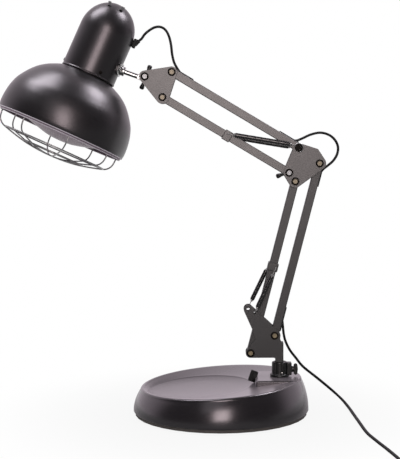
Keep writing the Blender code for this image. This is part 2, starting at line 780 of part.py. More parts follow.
def make_base(assembly, looks):
    shell = shell_mesh("base_shell")
    join(shell, plinth_mesh("plinth"))
    socket_hole = cylinder("socket_hole", (POST_X, 0.0, PLINTH_TOP - PLINTH_DEPTH - CUT_OVERRUN),
                           (POST_X, 0.0, PLINTH_TOP + CUT_OVERRUN), STUD_RADIUS + SLIP)
    switch_low = plane_point(SWITCH_X - GAP, PLINTH_TOP - PLINTH_DEPTH - CUT_OVERRUN,
                             -SWITCH_HALF_WIDTH - GAP)
    switch_high = plane_point(SWITCH_X + SWITCH_LENGTH + GAP,
                              PLINTH_TOP - SWITCH_TOP_COVER + GAP, SWITCH_HALF_WIDTH + GAP)
    pocket = block("switch_pocket", switch_low, switch_high)
    knob_back = KNOB_CENTRE - KNOB_AXIS * (KNOB_THICKNESS + KNOB_GRIP_HEIGHT) / 2.0
    recess = cylinder("knob_recess", knob_back - KNOB_AXIS * GAP,
                      knob_back + KNOB_AXIS * (2.0 * KNOB_RADIUS),
                      KNOB_RADIUS + KNOB_RECESS, ROUND_SEGMENTS)
    bore = cylinder("shaft_bore", knob_back + KNOB_AXIS * CUT_OVERRUN,
                    knob_back - KNOB_AXIS * (SWITCH_X - KNOB_X), SHAFT_RADIUS + SLIP)
    cut(shell, socket_hole, pocket, recess, bore)
    assembly.add(shell, "base", looks["black_paint"])

    pad = cylinder("base_pad", (0.0, 0.0, 0.0), (0.0, 0.0, PAD_THICKNESS),
                   BASE_RADIUS - PAD_INSET, FINE_SEGMENTS)
    assembly.add(pad, "base", looks["rubber"])
    plate_low = PAD_THICKNESS + GAP
    plate = cylinder("base_plate", (0.0, 0.0, plate_low), (0.0, 0.0, plate_low + PLATE_THICKNESS),
                     BASE_RADIUS - PLATE_INSET, FINE_SEGMENTS)
    assembly.add(plate, "base", looks["steel"])
    weight_low = plate_low + PLATE_THICKNESS + GAP
    weight = cylinder("base_weight", (0.0, 0.0, weight_low),
                      (0.0, 0.0, weight_low + WEIGHT_THICKNESS), WEIGHT_RADIUS, FINE_SEGMENTS)
    assembly.add(weight, "base", looks["steel"])

    body_low = plane_point(SWITCH_X, PLINTH_TOP - SWITCH_TOP_COVER - SWITCH_HEIGHT,
                           -SWITCH_HALF_WIDTH)
    body_high = plane_point(SWITCH_X + SWITCH_LENGTH, PLINTH_TOP - SWITCH_TOP_COVER,
                            SWITCH_HALF_WIDTH)
    switch = block("switch_body", body_low, body_high)
    shaft = cylinder("switch_shaft", knob_back + KNOB_AXIS * (KNOB_BORE_DEPTH - GAP),
                     knob_back - KNOB_AXIS * (SWITCH_X - KNOB_X), SHAFT_RADIUS)
    join(switch, shaft)
    assembly.add(switch, "base", looks["dark_plastic"])

    rows = ((0.0, 0.0), (KNOB_RADIUS * 0.96, 0.0), (KNOB_RADIUS, KNOB_THICKNESS * 0.3),
            (KNOB_RADIUS * 0.9, KNOB_THICKNESS), (0.0, KNOB_THICKNESS))
    knob_frame = frame_at(knob_back, KNOB_AXIS, (0.0, -1.0, 0.0))
    knob = lathe("switch_knob", rows, knob_frame)
    grip = block("knob_grip", (-KNOB_RADIUS * 0.86, -KNOB_GRIP_WIDTH / 2.0, KNOB_THICKNESS / 2.0),
                 (KNOB_RADIUS * 0.86, KNOB_GRIP_WIDTH / 2.0, KNOB_THICKNESS + KNOB_GRIP_HEIGHT),
                 knob_frame, KNOB_GRIP_WIDTH / 5.0)
    join(knob, grip)
    cut(knob, cylinder("knob_bore", knob_back - KNOB_AXIS * CUT_OVERRUN,
                       knob_back + KNOB_AXIS * KNOB_BORE_DEPTH, SHAFT_RADIUS + SLIP))
    assembly.add(knob, "switch_knob", looks["dark_plastic"])


def make_post(assembly, looks):
    upright = Matrix.Translation((POST_X, 0.0, SOCKET_BASE))
    flange = SOCKET_FLANGE_HEIGHT
    bore = PIN_RADIUS + SLIP
    profile = (
        (0.0, -STUD_LENGTH), (STUD_RADIUS, -STUD_LENGTH), (STUD_RADIUS, 0.0),
        (SOCKET_FLANGE_RADIUS, 0.0), (SOCKET_FLANGE_RADIUS, flange - SOCKET_EDGE),
        (SOCKET_FLANGE_RADIUS - SOCKET_EDGE, flange), (SOCKET_RADIUS, flange),
        (SOCKET_RADIUS, SOCKET_HEIGHT - SOCKET_EDGE), (SOCKET_RADIUS - SOCKET_EDGE, SOCKET_HEIGHT),
        (bore, SOCKET_HEIGHT), (bore, SOCKET_FLOOR), (0.0, SOCKET_FLOOR),
    )
    socket = lathe("post_socket", profile, upright)
    boss_start = POST_X + (bore + SOCKET_RADIUS) / 2.0
    boss = block("socket_boss", (boss_start, -BOSS_HALF_WIDTH, CLAMP_HEIGHT - BOSS_HALF_HEIGHT),
                 (POST_X + BOSS_REACH, BOSS_HALF_WIDTH, CLAMP_HEIGHT + BOSS_HALF_HEIGHT),
                 None, SOCKET_EDGE)
    join(socket, boss)
    screw_bore = cylinder("screw_bore", (POST_X, 0.0, CLAMP_HEIGHT),
                          (POST_X + BOSS_REACH + CUT_OVERRUN, 0.0, CLAMP_HEIGHT),
                          CLAMP_SCREW_RADIUS + SLIP)
    split_front = -math.sqrt(SOCKET_RADIUS ** 2 - SPLIT_OFFSET ** 2)
    split = block("split_line",
                  (POST_X + SPLIT_OFFSET - SPLIT_WIDTH / 2.0, split_front - CUT_OVERRUN,
                   SOCKET_BASE + flange + SOCKET_EDGE),
                  (POST_X + SPLIT_OFFSET + SPLIT_WIDTH / 2.0, split_front + SPLIT_DEPTH,
                   SOCKET_TOP + CUT_OVERRUN))
    cut(socket, screw_bore, split)
    assembly.add(socket, "base", looks["dark_plastic"])

    nut_top = PLINTH_TOP - PLINTH_DEPTH - GAP
    nut_frame = Matrix.Translation((POST_X, 0.0, nut_top - STUD_NUT_HEIGHT))
    hole = STUD_RADIUS + SLIP
    nut_rows = ((hole, 0.0), (STUD_NUT_RADIUS, 0.0), (STUD_NUT_RADIUS, STUD_NUT_HEIGHT),
                (hole, STUD_NUT_HEIGHT))
    nut = lathe("socket_nut", nut_rows, nut_frame, ROUND_SEGMENTS, True, (1, 2))
    assembly.add(nut, "base", looks["steel"])

    tip_x = POST_X + PIN_RADIUS + CLAMP_TIP_GAP
    screw = cylinder("clamp_screw", (tip_x, 0.0, CLAMP_HEIGHT),
                     (POST_X + LEAF_START + SOCKET_EDGE, 0.0, CLAMP_HEIGHT), CLAMP_SCREW_RADIUS)
    leaf = block("clamp_leaf", (POST_X + LEAF_START, -LEAF_HALF_THICKNESS, CLAMP_HEIGHT - LEAF_RADIUS),
                 (POST_X + LEAF_END, LEAF_HALF_THICKNESS, CLAMP_HEIGHT + LEAF_RADIUS),
                 None, LEAF_HALF_THICKNESS / 2.0)
    join(screw, leaf)
    assembly.add(screw, "clamp_screw", looks["dark_plastic"])

    pin_low = SOCKET_BASE + SOCKET_FLOOR + GAP
    pin = cylinder("swivel_pin", (POST_X, 0.0, pin_low), (POST_X, 0.0, pin_low + PIN_HEIGHT / 2.0),
                   PIN_RADIUS, ROUND_SEGMENTS)
    head_low = SOCKET_TOP + GAP
    half = BAR_WIDTH / 2.0
    head = block("pin_head", (POST_X - half + SLIP, -half, head_low),
                 (POST_X + half - SLIP, half, head_low + PIN_HEAD_HEIGHT), None, PIN_HEAD_EDGE)
    join(pin, head)
    assembly.add(pin, "swivel_bracket", looks["black_paint"])


def pivot_hole(point, radius=BOLT_RADIUS + 2.0 * SLIP):
    reach = PLATE_OUTER + CUT_OVERRUN
    return cylinder("pivot_hole", point - Y_AXIS * reach, point + Y_AXIS * reach, radius,
                    HOLE_SEGMENTS)


def plate_pair(assembly, look, body, stem, outline, holes):
    for side, label in ((-1.0, "near"), (1.0, "far")):
        low, high = sorted((side * PLATE_INNER, side * PLATE_OUTER))
        plate = prism(label + "_" + stem, outline, low, high)
        for point, radius in holes:
            cut(plate, pivot_hole(point, radius))
        assembly.add(plate, body, look)


def bolt(assembly, looks, name, body, point, wing=False):
    """Pivot bolt with its head and washers, turned as one piece along +Y."""
    outer = PLATE_OUTER + GAP
    near_washer = outer + WASHER_THICKNESS
    head = near_washer + BOLT_HEAD_HEIGHT
    rows = [
        (0.0, -head - BOLT_HEAD_CROWN), (BOLT_HEAD_RADIUS, -head), (BOLT_HEAD_RADIUS, -near_washer),
        (WASHER_RADIUS, -near_washer), (WASHER_RADIUS, -outer), (BOLT_RADIUS, -outer),
        (BOLT_RADIUS, outer),
    ]
    hex_rows = ()
    if wing:
        end = near_washer + WING_BOLT_LENGTH
        rows += [(WASHER_RADIUS, outer), (WASHER_RADIUS, near_washer),
                 (WING_BOLT_RADIUS, near_washer), (WING_BOLT_RADIUS, end), (0.0, end)]
    else:
        hex_rows = (len(rows), len(rows) + 1)
        rows += [(NUT_ACROSS / 2.0, outer), (NUT_ACROSS / 2.0, outer + NUT_HEIGHT),
                 (0.0, outer + NUT_HEIGHT)]
    made = lathe(name, rows, frame_at(point, Y_AXIS, (1.0, 0.0, 0.0)), SMALL_SEGMENTS, False, hex_rows)
    assembly.add(made, body, looks["brass_steel"])


def wing_knob(assembly, looks, name, body, point, angle):
    low = PLATE_OUTER + GAP + WASHER_THICKNESS + GAP
    placed = frame_at(point + Y_AXIS * low, Y_AXIS, (math.cos(angle), 0.0, math.sin(angle)))
    height = WING_HUB_HEIGHT
    rows = ((0.0, 0.0), (WING_HUB_RADIUS, 0.0), (WING_HUB_RADIUS, height * 0.35),
            (WING_HUB_RADIUS * 0.72, height), (0.0, height))
    knob = lathe(name, rows, placed, SMALL_SEGMENTS + 4)
    for side in (-1.0, 1.0):
        near, far = sorted((side * WING_HUB_RADIUS * 0.4, side * WING_REACH))
        leaf = block("wing_leaf", (near, -WING_HALF_THICKNESS, WING_LIFT),
                     (far, WING_HALF_THICKNESS, WING_LIFT + WING_RISE), placed,
                     WING_HALF_THICKNESS / 2.0)
        join(knob, leaf)
    bore_end = point + Y_AXIS * (low - GAP + WING_BOLT_LENGTH + GAP)
    cut(knob, cylinder("wing_bore", point + Y_AXIS * (low - CUT_OVERRUN), bore_end,
                       WING_BOLT_RADIUS + SLIP))
    assembly.add(knob, body, looks["dark_plastic"])


def bar(name, start, end, slots):
    """Square tube with round ends round its pivots. A slot is (from, to, side of the tube)."""
    along = (end - start).normalized()
    radius = BAR_HEIGHT / 2.0
    outline = belt(((start.x, start.z, radius), (end.x, end.z, radius)), 6)
    half = BAR_WIDTH / 2.0
    made = prism(name, outline, -half, half, BAR_EDGE)
    length = (end - start).length
    placed = Matrix.Translation(start) @ Matrix(
        (along, Y_AXIS, along.cross(Y_AXIS))).transposed().to_4x4()
    inner_height = radius - BAR_WALL
    inner_width = half - BAR_WALL
    hollow = block("bar_hollow", (-radius - CUT_OVERRUN, -inner_width, -inner_height),
                   (length + radius + CUT_OVERRUN, inner_width, inner_height), placed)
    cut(made, hollow)
    for slot_start, slot_end, side in slots:
        low, high = sorted((side * inner_height * 0.8, side * (radius + CUT_OVERRUN)))
        cut(made, block("bar_slot", (slot_start, -SLOT_HALF_WIDTH, low),
                        (slot_end, SLOT_HALF_WIDTH, high), placed))
    cut(made, pivot_hole(start), pivot_hole(end))
    return made


def collar(assembly, look, name, body, centre, along, holes):
    half_height = BAR_HEIGHT / 2.0 + GAP
    half_width = BAR_WIDTH / 2.0 + GAP
    placed = Matrix.Translation(centre) @ Matrix(
        (along, Y_AXIS, along.cross(Y_AXIS))).transposed().to_4x4()
    half_length = COLLAR_LENGTH / 2.0
    made = block(name, (-half_length, -half_width - COLLAR_SHEET, -half_height - COLLAR_SHEET),
                 (half_length, half_width + COLLAR_SHEET, half_height + COLLAR_SHEET), placed)
    cut(made, block("collar_bore", (-half_length - CUT_OVERRUN, -half_width, -half_height),
                    (half_length + CUT_OVERRUN, half_width, half_height), placed))
    reach = half_width + COLLAR_SHEET + CUT_OVERRUN
    for spot in holes:
        cut(made, cylinder("collar_hole", spot - Y_AXIS * reach, spot + Y_AXIS * reach,
                           COLLAR_HOLE_RADIUS))
    return assembly.add(made, body, look)


def sleeve(assembly, look, name, body, start, end):
    axis = end - start
    rows = ((SLEEVE_BORE_RADIUS, 0.0), (SLEEVE_RADIUS, 0.0), (SLEEVE_RADIUS, axis.length),
            (SLEEVE_BORE_RADIUS, axis.length))
    made = lathe(name, rows, frame_at(start, axis), SMALL_SEGMENTS, True)
    assembly.add(made, body, look)


def spring(assembly, looks, label, body, out, line, start_hook, end_hook):
    """Closed spring in its sleeve with a wire hook at each end, beside the bars."""
    top, foot, sleeve_start, sleeve_stop = line
    top = top + out * SPRING_SIDE
    foot = foot + out * SPRING_SIDE
    along = (foot - top).normalized()
    first = top + along * sleeve_start
    last = foot - along * sleeve_stop
    wire, core = HOOK_WIRE_RADIUS, SPRING_RADIUS
    points = start_hook + [top - out * SLEEVE_OVERLAP, top + along * SLEEVE_OVERLAP]
    radii = [wire] * len(points)
    points += [first + along * SLEEVE_OVERLAP * 0.2, first + along * SLEEVE_OVERLAP,
               last - along * SLEEVE_OVERLAP, last - along * SLEEVE_OVERLAP * 0.2]
    radii += [wire, core, core, wire]
    points += [foot - along * SLEEVE_OVERLAP, foot - out * SLEEVE_OVERLAP] + end_hook
    radii += [wire] * (2 + len(end_hook))
    assembly.tube(label + "_spring", points, core, body, looks["spring_wire"], 1, radii)
    sleeve(assembly, looks["sleeve"], label + "_sleeve", body, first, last)


def make_lower_arm(assembly, looks):
    e, f, post = PIVOT_E, PIVOT_F, POST_X
    stem_low = SOCKET_TOP + GAP
    foot_line = e.z - BRACKET_FOOT_RADIUS
    ear = e + plane_point(-EAR_BACK, EAR_RISE)
    second = ear + plane_point(EAR_SECOND_ALONG, -EAR_SECOND_DROP)
    outline = belt((
        (e.x, e.z, BRACKET_FOOT_RADIUS), (post - BRACKET_STEM_LEFT - BRACKET_NOTCH, foot_line, 0.0),
        (post - BRACKET_STEM_LEFT, foot_line - BRACKET_NOTCH, 0.0),
        (post - BRACKET_STEM_LEFT, stem_low, 0.0), (post + BRACKET_STEM_RIGHT, stem_low, 0.0),
        (post + BRACKET_STEM_RIGHT, f.z - BRACKET_SHOULDER_DROP - BRACKET_SHOULDER_FALL, 0.0),
        (f.x + BRACKET_SHOULDER_ALONG, f.z - BRACKET_SHOULDER_DROP, 0.0),
        (f.x, f.z, BRACKET_HUB_RADIUS), (ear.x, ear.z, EAR_RADIUS),
        (e.x + WAIST_ALONG, e.z + WAIST_RISE, 0.0), (e.x + HEEL_ALONG, e.z + HEEL_RISE, 0.0),
    ))
    bolt_hole = BOLT_RADIUS + 2.0 * SLIP
    holes = ((e, bolt_hole), (f, bolt_hole), (ear, EAR_HOLE_RADIUS), (second, EAR_SECOND_RADIUS))
    plate_pair(assembly, looks["arm_paint"], "swivel_bracket", "bracket_plate", outline, holes)
    bolt(assembly, looks, "front_foot_bolt", "swivel_bracket", e)
    bolt(assembly, looks, "rear_foot_bolt", "swivel_bracket", f)

    front = bar("lower_front_bar", e, PIVOT_C, ())
    assembly.add(front, "lower_front_bar", looks["arm_paint"])
    length = LOWER_ARM_LENGTH
    slots = ((TAIL_SLOT[0], TAIL_SLOT[1], -1.0),
             (length - ELBOW_SLOT_REAR[1], length - ELBOW_SLOT_REAR[0], -1.0))
    rear = bar("lower_rear_bar", f, PIVOT_D, slots)
    assembly.add(rear, "lower_rear_bar", looks["arm_paint"])

    hold = e + LOWER_DIRECTION * LOWER_COLLAR_ALONG
    across = Y_AXIS.cross(LOWER_DIRECTION)
    holes = (hold + across * FAR_HOLD_ACROSS, hold + across * NEAR_HOLD_ACROSS)
    collar(assembly, looks["arm_paint"], "lower_spring_collar", "lower_front_bar", hold,
           LOWER_DIRECTION, holes)
    springs = (
        ("far", 1.0, FAR_HOLD_ACROSS, ear, FAR_SLEEVE_START, FAR_SLEEVE_STOP),
        ("near", -1.0, NEAR_HOLD_ACROSS, second, NEAR_SLEEVE_START, NEAR_SLEEVE_STOP),
    )
    for label, side, shift, anchor, sleeve_start, sleeve_stop in springs:
        out = Y_AXIS * side
        top = hold + across * shift
        spring(assembly, looks, label + "_lower", "lower_front_bar", out,
               (top, anchor, sleeve_start, sleeve_stop),
               [top + out * COLLAR_DEPTH], [anchor + out * (PLATE_INNER + PLATE_SHEET / 2.0)])


def make_elbow(assembly, looks):
    a, b, c, d = PIVOT_A, PIVOT_B, PIVOT_C, PIVOT_D
    outline = belt((
        (b.x, b.z, ELBOW_HUB_LOW), (c.x, c.z, ELBOW_HUB_FRONT), (d.x, d.z, ELBOW_HUB_REAR),
        (d.x - ELBOW_CORNER_BACK, d.z + ELBOW_CORNER_RISE, ELBOW_CORNER_RADIUS),
        (a.x, a.z, ELBOW_HUB_TOP),
    ))
    holes = [(point, BOLT_RADIUS + 2.0 * SLIP) for point in (a, b, c, d)]
    plate_pair(assembly, looks["upper_paint"], "elbow", "elbow_plate", outline, holes)
    bolt(assembly, looks, "elbow_top_bolt", "elbow", a)
    bolt(assembly, looks, "elbow_lock_bolt", "elbow", b, True)
    bolt(assembly, looks, "elbow_front_bolt", "elbow", c)
    bolt(assembly, looks, "elbow_rear_bolt", "elbow", d)
    wing_knob(assembly, looks, "elbow_wing_knob", "elbow_wing", b, ELBOW_WING_ANGLE)


def make_upper_arm(assembly, looks):
    a, b, u = PIVOT_A, PIVOT_B, PIVOT_U
    length = UPPER_ARM_LENGTH
    slots = ((ELBOW_SLOT_TOP[0], ELBOW_SLOT_TOP[1], -1.0),
             (length - HEAD_SLOT[1], length - HEAD_SLOT[0], -1.0))
    top = bar("upper_top_bar", a, u, slots)
    assembly.add(top, "upper_top_bar", looks["upper_paint"])
    low = bar("upper_bottom_bar", b, PIVOT_L, ())
    assembly.add(low, "upper_bottom_bar", looks["upper_paint"])

    hold = b + UPPER_DIRECTION * UPPER_COLLAR_ALONG
    aim = (a - hold).normalized()
    wide = aim.cross(Y_AXIS)
    holes = (hold + wide * NEAR_UPPER_LIFT, hold + wide * FAR_UPPER_LIFT)
    collar(assembly, looks["upper_paint"], "upper_spring_collar", "upper_bottom_bar", hold,
           UPPER_DIRECTION, holes)
    for label, side, lift in (("near", -1.0, NEAR_UPPER_LIFT), ("far", 1.0, FAR_UPPER_LIFT)):
        out = Y_AXIS * side
        top = hold + wide * lift
        foot = a - aim * HOOK_ARC_RADIUS + wide * lift
        hook = []
        for step in range(HOOK_ARC_STEPS + 1):
            angle = math.radians(150 - 220 * step / HOOK_ARC_STEPS)
            spin = aim * math.cos(angle) + wide * math.sin(angle)
            hook.append(a + out * HOOK_SIDE + spin * HOOK_ARC_RADIUS)
        spring(assembly, looks, label + "_upper", "upper_bottom_bar", out,
               (top, foot, UPPER_SLEEVE_START, UPPER_SLEEVE_STOP - HOOK_ARC_RADIUS),
               [top + out * COLLAR_DEPTH], hook)


def make_head_plates(assembly, looks):
    t, u, low = PIVOT_T, PIVOT_U, PIVOT_L
    outline = belt(((t.x, t.z, HEAD_HUB_TILT), (low.x, low.z, HEAD_HUB_LOW), (u.x, u.z, HEAD_HUB_TOP)))
    holes = [(point, BOLT_RADIUS + 2.0 * SLIP) for point in (t, u, low)]
    plate_pair(assembly, looks["upper_paint"], "head_plate", "head_plate", outline, holes)
    bolt(assembly, looks, "head_top_bolt", "head_plate", u)
    bolt(assembly, looks, "head_low_bolt", "head_plate", low)
    bolt(assembly, looks, "tilt_bolt", "head_plate", t, True)
    wing_knob(assembly, looks, "head_wing_knob", "head_wing", t, HEAD_WING_ANGLE)


def head_point(side, y, height):
    return HEAD_FRAME @ Vector((side, y, height))


def housing_point(side, y, height):
    return HOUSING_FRAME @ Vector((side, y, height))


def rod_at_radius(radius):
    """Distance along the rod, from its foot under the tilt pivot, to a radius of the head."""
    local_foot = HOUSING_FRAME.inverted() @ ROD_FOOT
    local_way = HOUSING_FRAME.inverted().to_3x3() @ (-ROD_DIRECTION)
    return (radius - local_foot.x) / local_way.x


def make_tilt_link(assembly, looks):
    inner = HOUSING_RADIUS - HOUSING_SHEET
    stop_near = rod_at_radius(inner - ROD_STOP_CLEAR)
    rod_end = ROD_FOOT - ROD_DIRECTION * (stop_near + ROD_STOP_THICKNESS)
    length = stop_near + ROD_STOP_THICKNESS
    rows = ((0.0, 0.0), (ROD_STOP_RADIUS, 0.0), (ROD_STOP_RADIUS, ROD_STOP_THICKNESS * 0.8),
            (ROD_RADIUS, ROD_STOP_THICKNESS), (ROD_RADIUS, length), (0.0, length))
    rod = lathe("tilt_rod", rows, frame_at(rod_end, ROD_DIRECTION, (0.0, -1.0, 0.0)))
    t = PIVOT_T
    half = BAR_WIDTH / 2.0
    low_centre = ROD_FOOT - ROD_DIRECTION * LUG_RADIUS
    lug = prism("rod_lug", belt(((t.x, t.z, LUG_RADIUS), (low_centre.x, low_centre.z, ROD_RADIUS))),
                -half, half)
    join(rod, lug)
    cut(rod, pivot_hole(t))
    assembly.add(rod, "tilt_link", looks["chrome"])


def housing_profile(inset, steps):
    radius = HOUSING_RADIUS - inset
    rise = HOUSING_CAP - inset
    rows = [(radius, HOUSING_BASE), (radius, HOUSING_SHOULDER)]
    for step in range(1, steps):
        angle = math.pi / 2.0 * step / steps
        rows.append((radius * math.cos(angle), HOUSING_SHOULDER + rise * math.sin(angle)))
    rows.append((0.0, HOUSING_SHOULDER + rise))
    return rows


def make_housing(assembly, looks):
    outer = housing_profile(0.0, CAP_STEPS)
    inner = housing_profile(HOUSING_SHEET, CAP_STEPS - 2)
    rows = list(reversed(outer)) + inner
    housing = lathe("housing", rows, HOUSING_FRAME, HOUSING_SEGMENTS)
    rise = HOUSING_SHOULDER + HOUSING_CAP * VENT_HEIGHT_SHARE
    ring = HOUSING_RADIUS * math.sqrt(1.0 - VENT_HEIGHT_SHARE ** 2)
    for base_angle in (-math.pi / 2.0, math.pi / 2.0):
        for offset in (-VENT_ANGLE, VENT_ANGLE):
            angle = base_angle + offset
            out = Vector((math.cos(angle), math.sin(angle), 0.0))
            spot = out * ring + Vector((0.0, 0.0, rise))
            normal = Vector((out.x / HOUSING_RADIUS * ring / HOUSING_RADIUS,
                             out.y / HOUSING_RADIUS * ring / HOUSING_RADIUS,
                             VENT_HEIGHT_SHARE / HOUSING_CAP)).normalized()
            uphill = (Vector((0.0, 0.0, 1.0)) - normal * normal.z).normalized()
            root = spot + uphill * (VENT_RADIUS + TAB_SHEET)
            placed = HOUSING_FRAME @ frame_at(root, normal, uphill.cross(normal))
            tab = block("vent_tab", (-TAB_WIDTH / 2.0, -TAB_SHEET / 2.0, -HOUSING_SHEET / 2.0),
                        (TAB_WIDTH / 2.0, TAB_SHEET / 2.0, TAB_HEIGHT), placed)
            join(housing, tab)
            hole = cylinder("vent_hole", HOUSING_FRAME @ (spot - normal * CUT_OVERRUN),
                            HOUSING_FRAME @ (spot + normal * CUT_OVERRUN), VENT_RADIUS, 10)
            cut(housing, hole)
    reach_out = -rod_at_radius(HOUSING_RADIUS + CUT_OVERRUN)
    reach_in = -rod_at_radius(HOUSING_RADIUS - HOUSING_SHEET - CUT_OVERRUN)
    cut(housing, cylinder("rod_hole", ROD_FOOT + ROD_DIRECTION * reach_in,
                          ROD_FOOT + ROD_DIRECTION * reach_out, ROD_RADIUS + SLIP))
    entry = HOUSING_BASE + GROMMET_HEIGHT
    cut(housing, cylinder("cord_hole", housing_point(HOUSING_RADIUS - CUT_OVERRUN, 0.0, entry),
                          housing_point(HOUSING_RADIUS + CUT_OVERRUN, 0.0, entry),
                          GROMMET_NECK_RADIUS + SLIP))
    for tool in screw_places():
        cut(housing, cylinder("screw_hole", tool[0], tool[1], SHADE_SCREW_RADIUS + SLIP))
    assembly.add(housing, "head", looks["black_paint"])


def screw_places():
    """Ends of the screw axes that fix the housing to the neck of the shade."""
    places = []
    for number in range(SHADE_SCREW_COUNT):
        angle = SHADE_SCREW_ANGLE + 2.0 * math.pi * number / SHADE_SCREW_COUNT
        out = Vector((math.cos(angle), math.sin(angle), 0.0))
        height = Vector((0.0, 0.0, HOUSING_BASE + SHADE_SCREW_HEIGHT))
        inner = out * (HOUSING_RADIUS - SHADE_SCREW_REACH) + height
        outer = out * (HOUSING_RADIUS + CUT_OVERRUN) + height
        places.append((HOUSING_FRAME @ inner, HOUSING_FRAME @ outer))
    return places


def make_shade(assembly, looks):
    outer = []
    inner = []
    for height_share, radius_share in SHADE_OUTER_SHARES:
        height = SHADE_HEIGHT * height_share
        radius = SHADE_NECK_RADIUS + (SHADE_RIM_RADIUS - SHADE_NECK_RADIUS) * radius_share
        outer.append((radius, height))
        inner.append((radius - SHADE_SHEET, height - SHADE_SHEET * height_share))
    inner = inner[:1] + inner[2:-1:2] + inner[-1:]
    neck = SHADE_NECK_RADIUS
    neck_top = SHADE_HEIGHT + SHADE_NECK_HEIGHT
    rows = list(inner)
    rows += [(neck - SHADE_SHEET, SHADE_HEIGHT - SHADE_SHEET), (neck - SHADE_SHEET, neck_top),
             (neck, neck_top), (neck, SHADE_HEIGHT)]
    rows += list(reversed(outer))
    shade = lathe("shade", rows, HEAD_FRAME, FINE_SEGMENTS, True)
    for start, end in screw_places():
        cut(shade, cylinder("screw_hole", start, end, SHADE_SCREW_RADIUS + SLIP))
    assembly.add(shade, "head", looks["black_paint"])
    for number, (start, end) in enumerate(screw_places()):
        out = (end - start).normalized()
        seat = start + out * (SHADE_SCREW_REACH + GAP)
        rows = ((0.0, -SHADE_SCREW_LENGTH), (SHADE_SCREW_RADIUS, -SHADE_SCREW_LENGTH),
                (SHADE_SCREW_RADIUS, 0.0), (SHADE_SCREW_HEAD, 0.0),
                (SHADE_SCREW_HEAD * 0.7, SHADE_SCREW_HEAD * 0.5), (0.0, SHADE_SCREW_HEAD * 0.55))
        made = lathe("shade_screw_%d" % (number + 1), rows, frame_at(seat, out), SMALL_SEGMENTS)
        assembly.add(made, "head", looks["steel"])


def inset_profile(rows, wall):
    """The profile moved inwards by the wall, towards the axis it is turned about."""
    moved = []
    for index, (radius, height) in enumerate(rows):
        before = rows[max(index - 1, 0)]
        after = rows[min(index + 1, len(rows) - 1)]
        run, rise = after[0] - before[0], after[1] - before[1]
        length = math.hypot(run, rise)
        moved.append((max(radius - wall * rise / length, 0.0), height + wall * run / length))
    moved[0] = (0.0, rows[0][1] + wall)
    return moved


def make_bulb(assembly, looks):
    outer = []
    for along, radius_share in BULB_SHARES:
        outer.append((BULB_RADIUS * radius_share, BULB_LENGTH * along - BULB_FACE_DEPTH))
    inner = inset_profile(outer, BULB_WALL)
    inner[-1] = (BULB_VENT_RADIUS, outer[-1][1])
    inner[-2] = (inner[-2][0], inner[-2][1] - BULB_WALL)
    inner = inner[:1] + inner[2:-3:2] + inner[-3:]
    bulb = lathe("heat_bulb", outer + list(reversed(inner)), HOUSING_FRAME, ROUND_SEGMENTS)
    assembly.add(bulb, "head", looks["bulb_glass"])

    holder_top = HOUSING_SHOULDER + HOLDER_TOP_GAP
    holder_low = holder_top - HOLDER_LENGTH
    flange = HOUSING_RADIUS - HOUSING_SHEET - GAP
    flange_low = HOUSING_SHOULDER - HOLDER_FLANGE_HEIGHT
    rows = ((0.0, holder_low), (HOLDER_RADIUS, holder_low), (HOLDER_RADIUS, flange_low),
            (flange, flange_low), (flange, HOUSING_SHOULDER - GAP),
            (HOLDER_RADIUS, HOUSING_SHOULDER - GAP), (HOLDER_RADIUS * 0.9, holder_top),
            (0.0, holder_top))
    holder = lathe("lamp_holder", rows, HOUSING_FRAME, SMALL_SEGMENTS + 4)
    cut(holder, cylinder("holder_bore", housing_point(0.0, 0.0, holder_low - CUT_OVERRUN),
                         housing_point(0.0, 0.0, BULB_LENGTH - BULB_FACE_DEPTH + GAP),
                         BULB_RADIUS * BULB_SHARES[-2][1] + SLIP, ROUND_SEGMENTS))
    assembly.add(holder, "head", looks["ceramic"])


def make_guard(assembly, looks):
    def ring(radius, depth, segments):
        points = []
        for index in range(segments):
            angle = 2.0 * math.pi * index / segments
            points.append(head_point(radius * math.cos(angle), radius * math.sin(angle), -depth))
        return points

    wire = GUARD_WIRE_RADIUS
    guard = wire_mesh("wire_guard", ring(GUARD_RIM_RADIUS, -GUARD_RIM_LIFT, GUARD_RING_SEGMENTS), wire,
                      GUARD_SIDES, True)
    parts = [wire_mesh("ring", ring(GUARD_RING_RADIUS, GUARD_RING_DEPTH, GUARD_RING_SEGMENTS),
                       wire, GUARD_SIDES, True),
             wire_mesh("ring", ring(GUARD_FLOOR_RADIUS, GUARD_FLOOR_DEPTH, ROUND_SEGMENTS - 2), wire,
                       GUARD_SIDES, True)]
    half_profile = (
        (GUARD_RIM_RADIUS, -GUARD_RIM_LIFT), (GUARD_RIM_RADIUS, GUARD_RING_DEPTH * 0.38),
        (GUARD_RIM_RADIUS * 0.96, GUARD_RING_DEPTH * 0.72), (GUARD_RING_RADIUS, GUARD_RING_DEPTH),
        (GUARD_FLOOR_RADIUS, GUARD_FLOOR_DEPTH), (GUARD_FLOOR_RADIUS * 0.5, GUARD_DEPTH * 0.97),
    )
    for number in range(GUARD_RIBS // 2):
        angle = GUARD_RIB_ANGLE + 2.0 * math.pi * number / GUARD_RIBS
        points = []
        for radius, depth in half_profile:
            points.append(head_point(radius * math.cos(angle), -radius * math.sin(angle), -depth))
        points.append(head_point(0.0, 0.0, -GUARD_DEPTH))
        for radius, depth in reversed(half_profile):
            points.append(head_point(-radius * math.cos(angle), radius * math.sin(angle), -depth))
        parts.append(wire_mesh("rib", smooth_route(points, GUARD_WIRE_RADIUS * 15.0), wire,
                               GUARD_SIDES))
    join(guard, *parts)
    assembly.add(guard, "head", looks["guard_wire"])


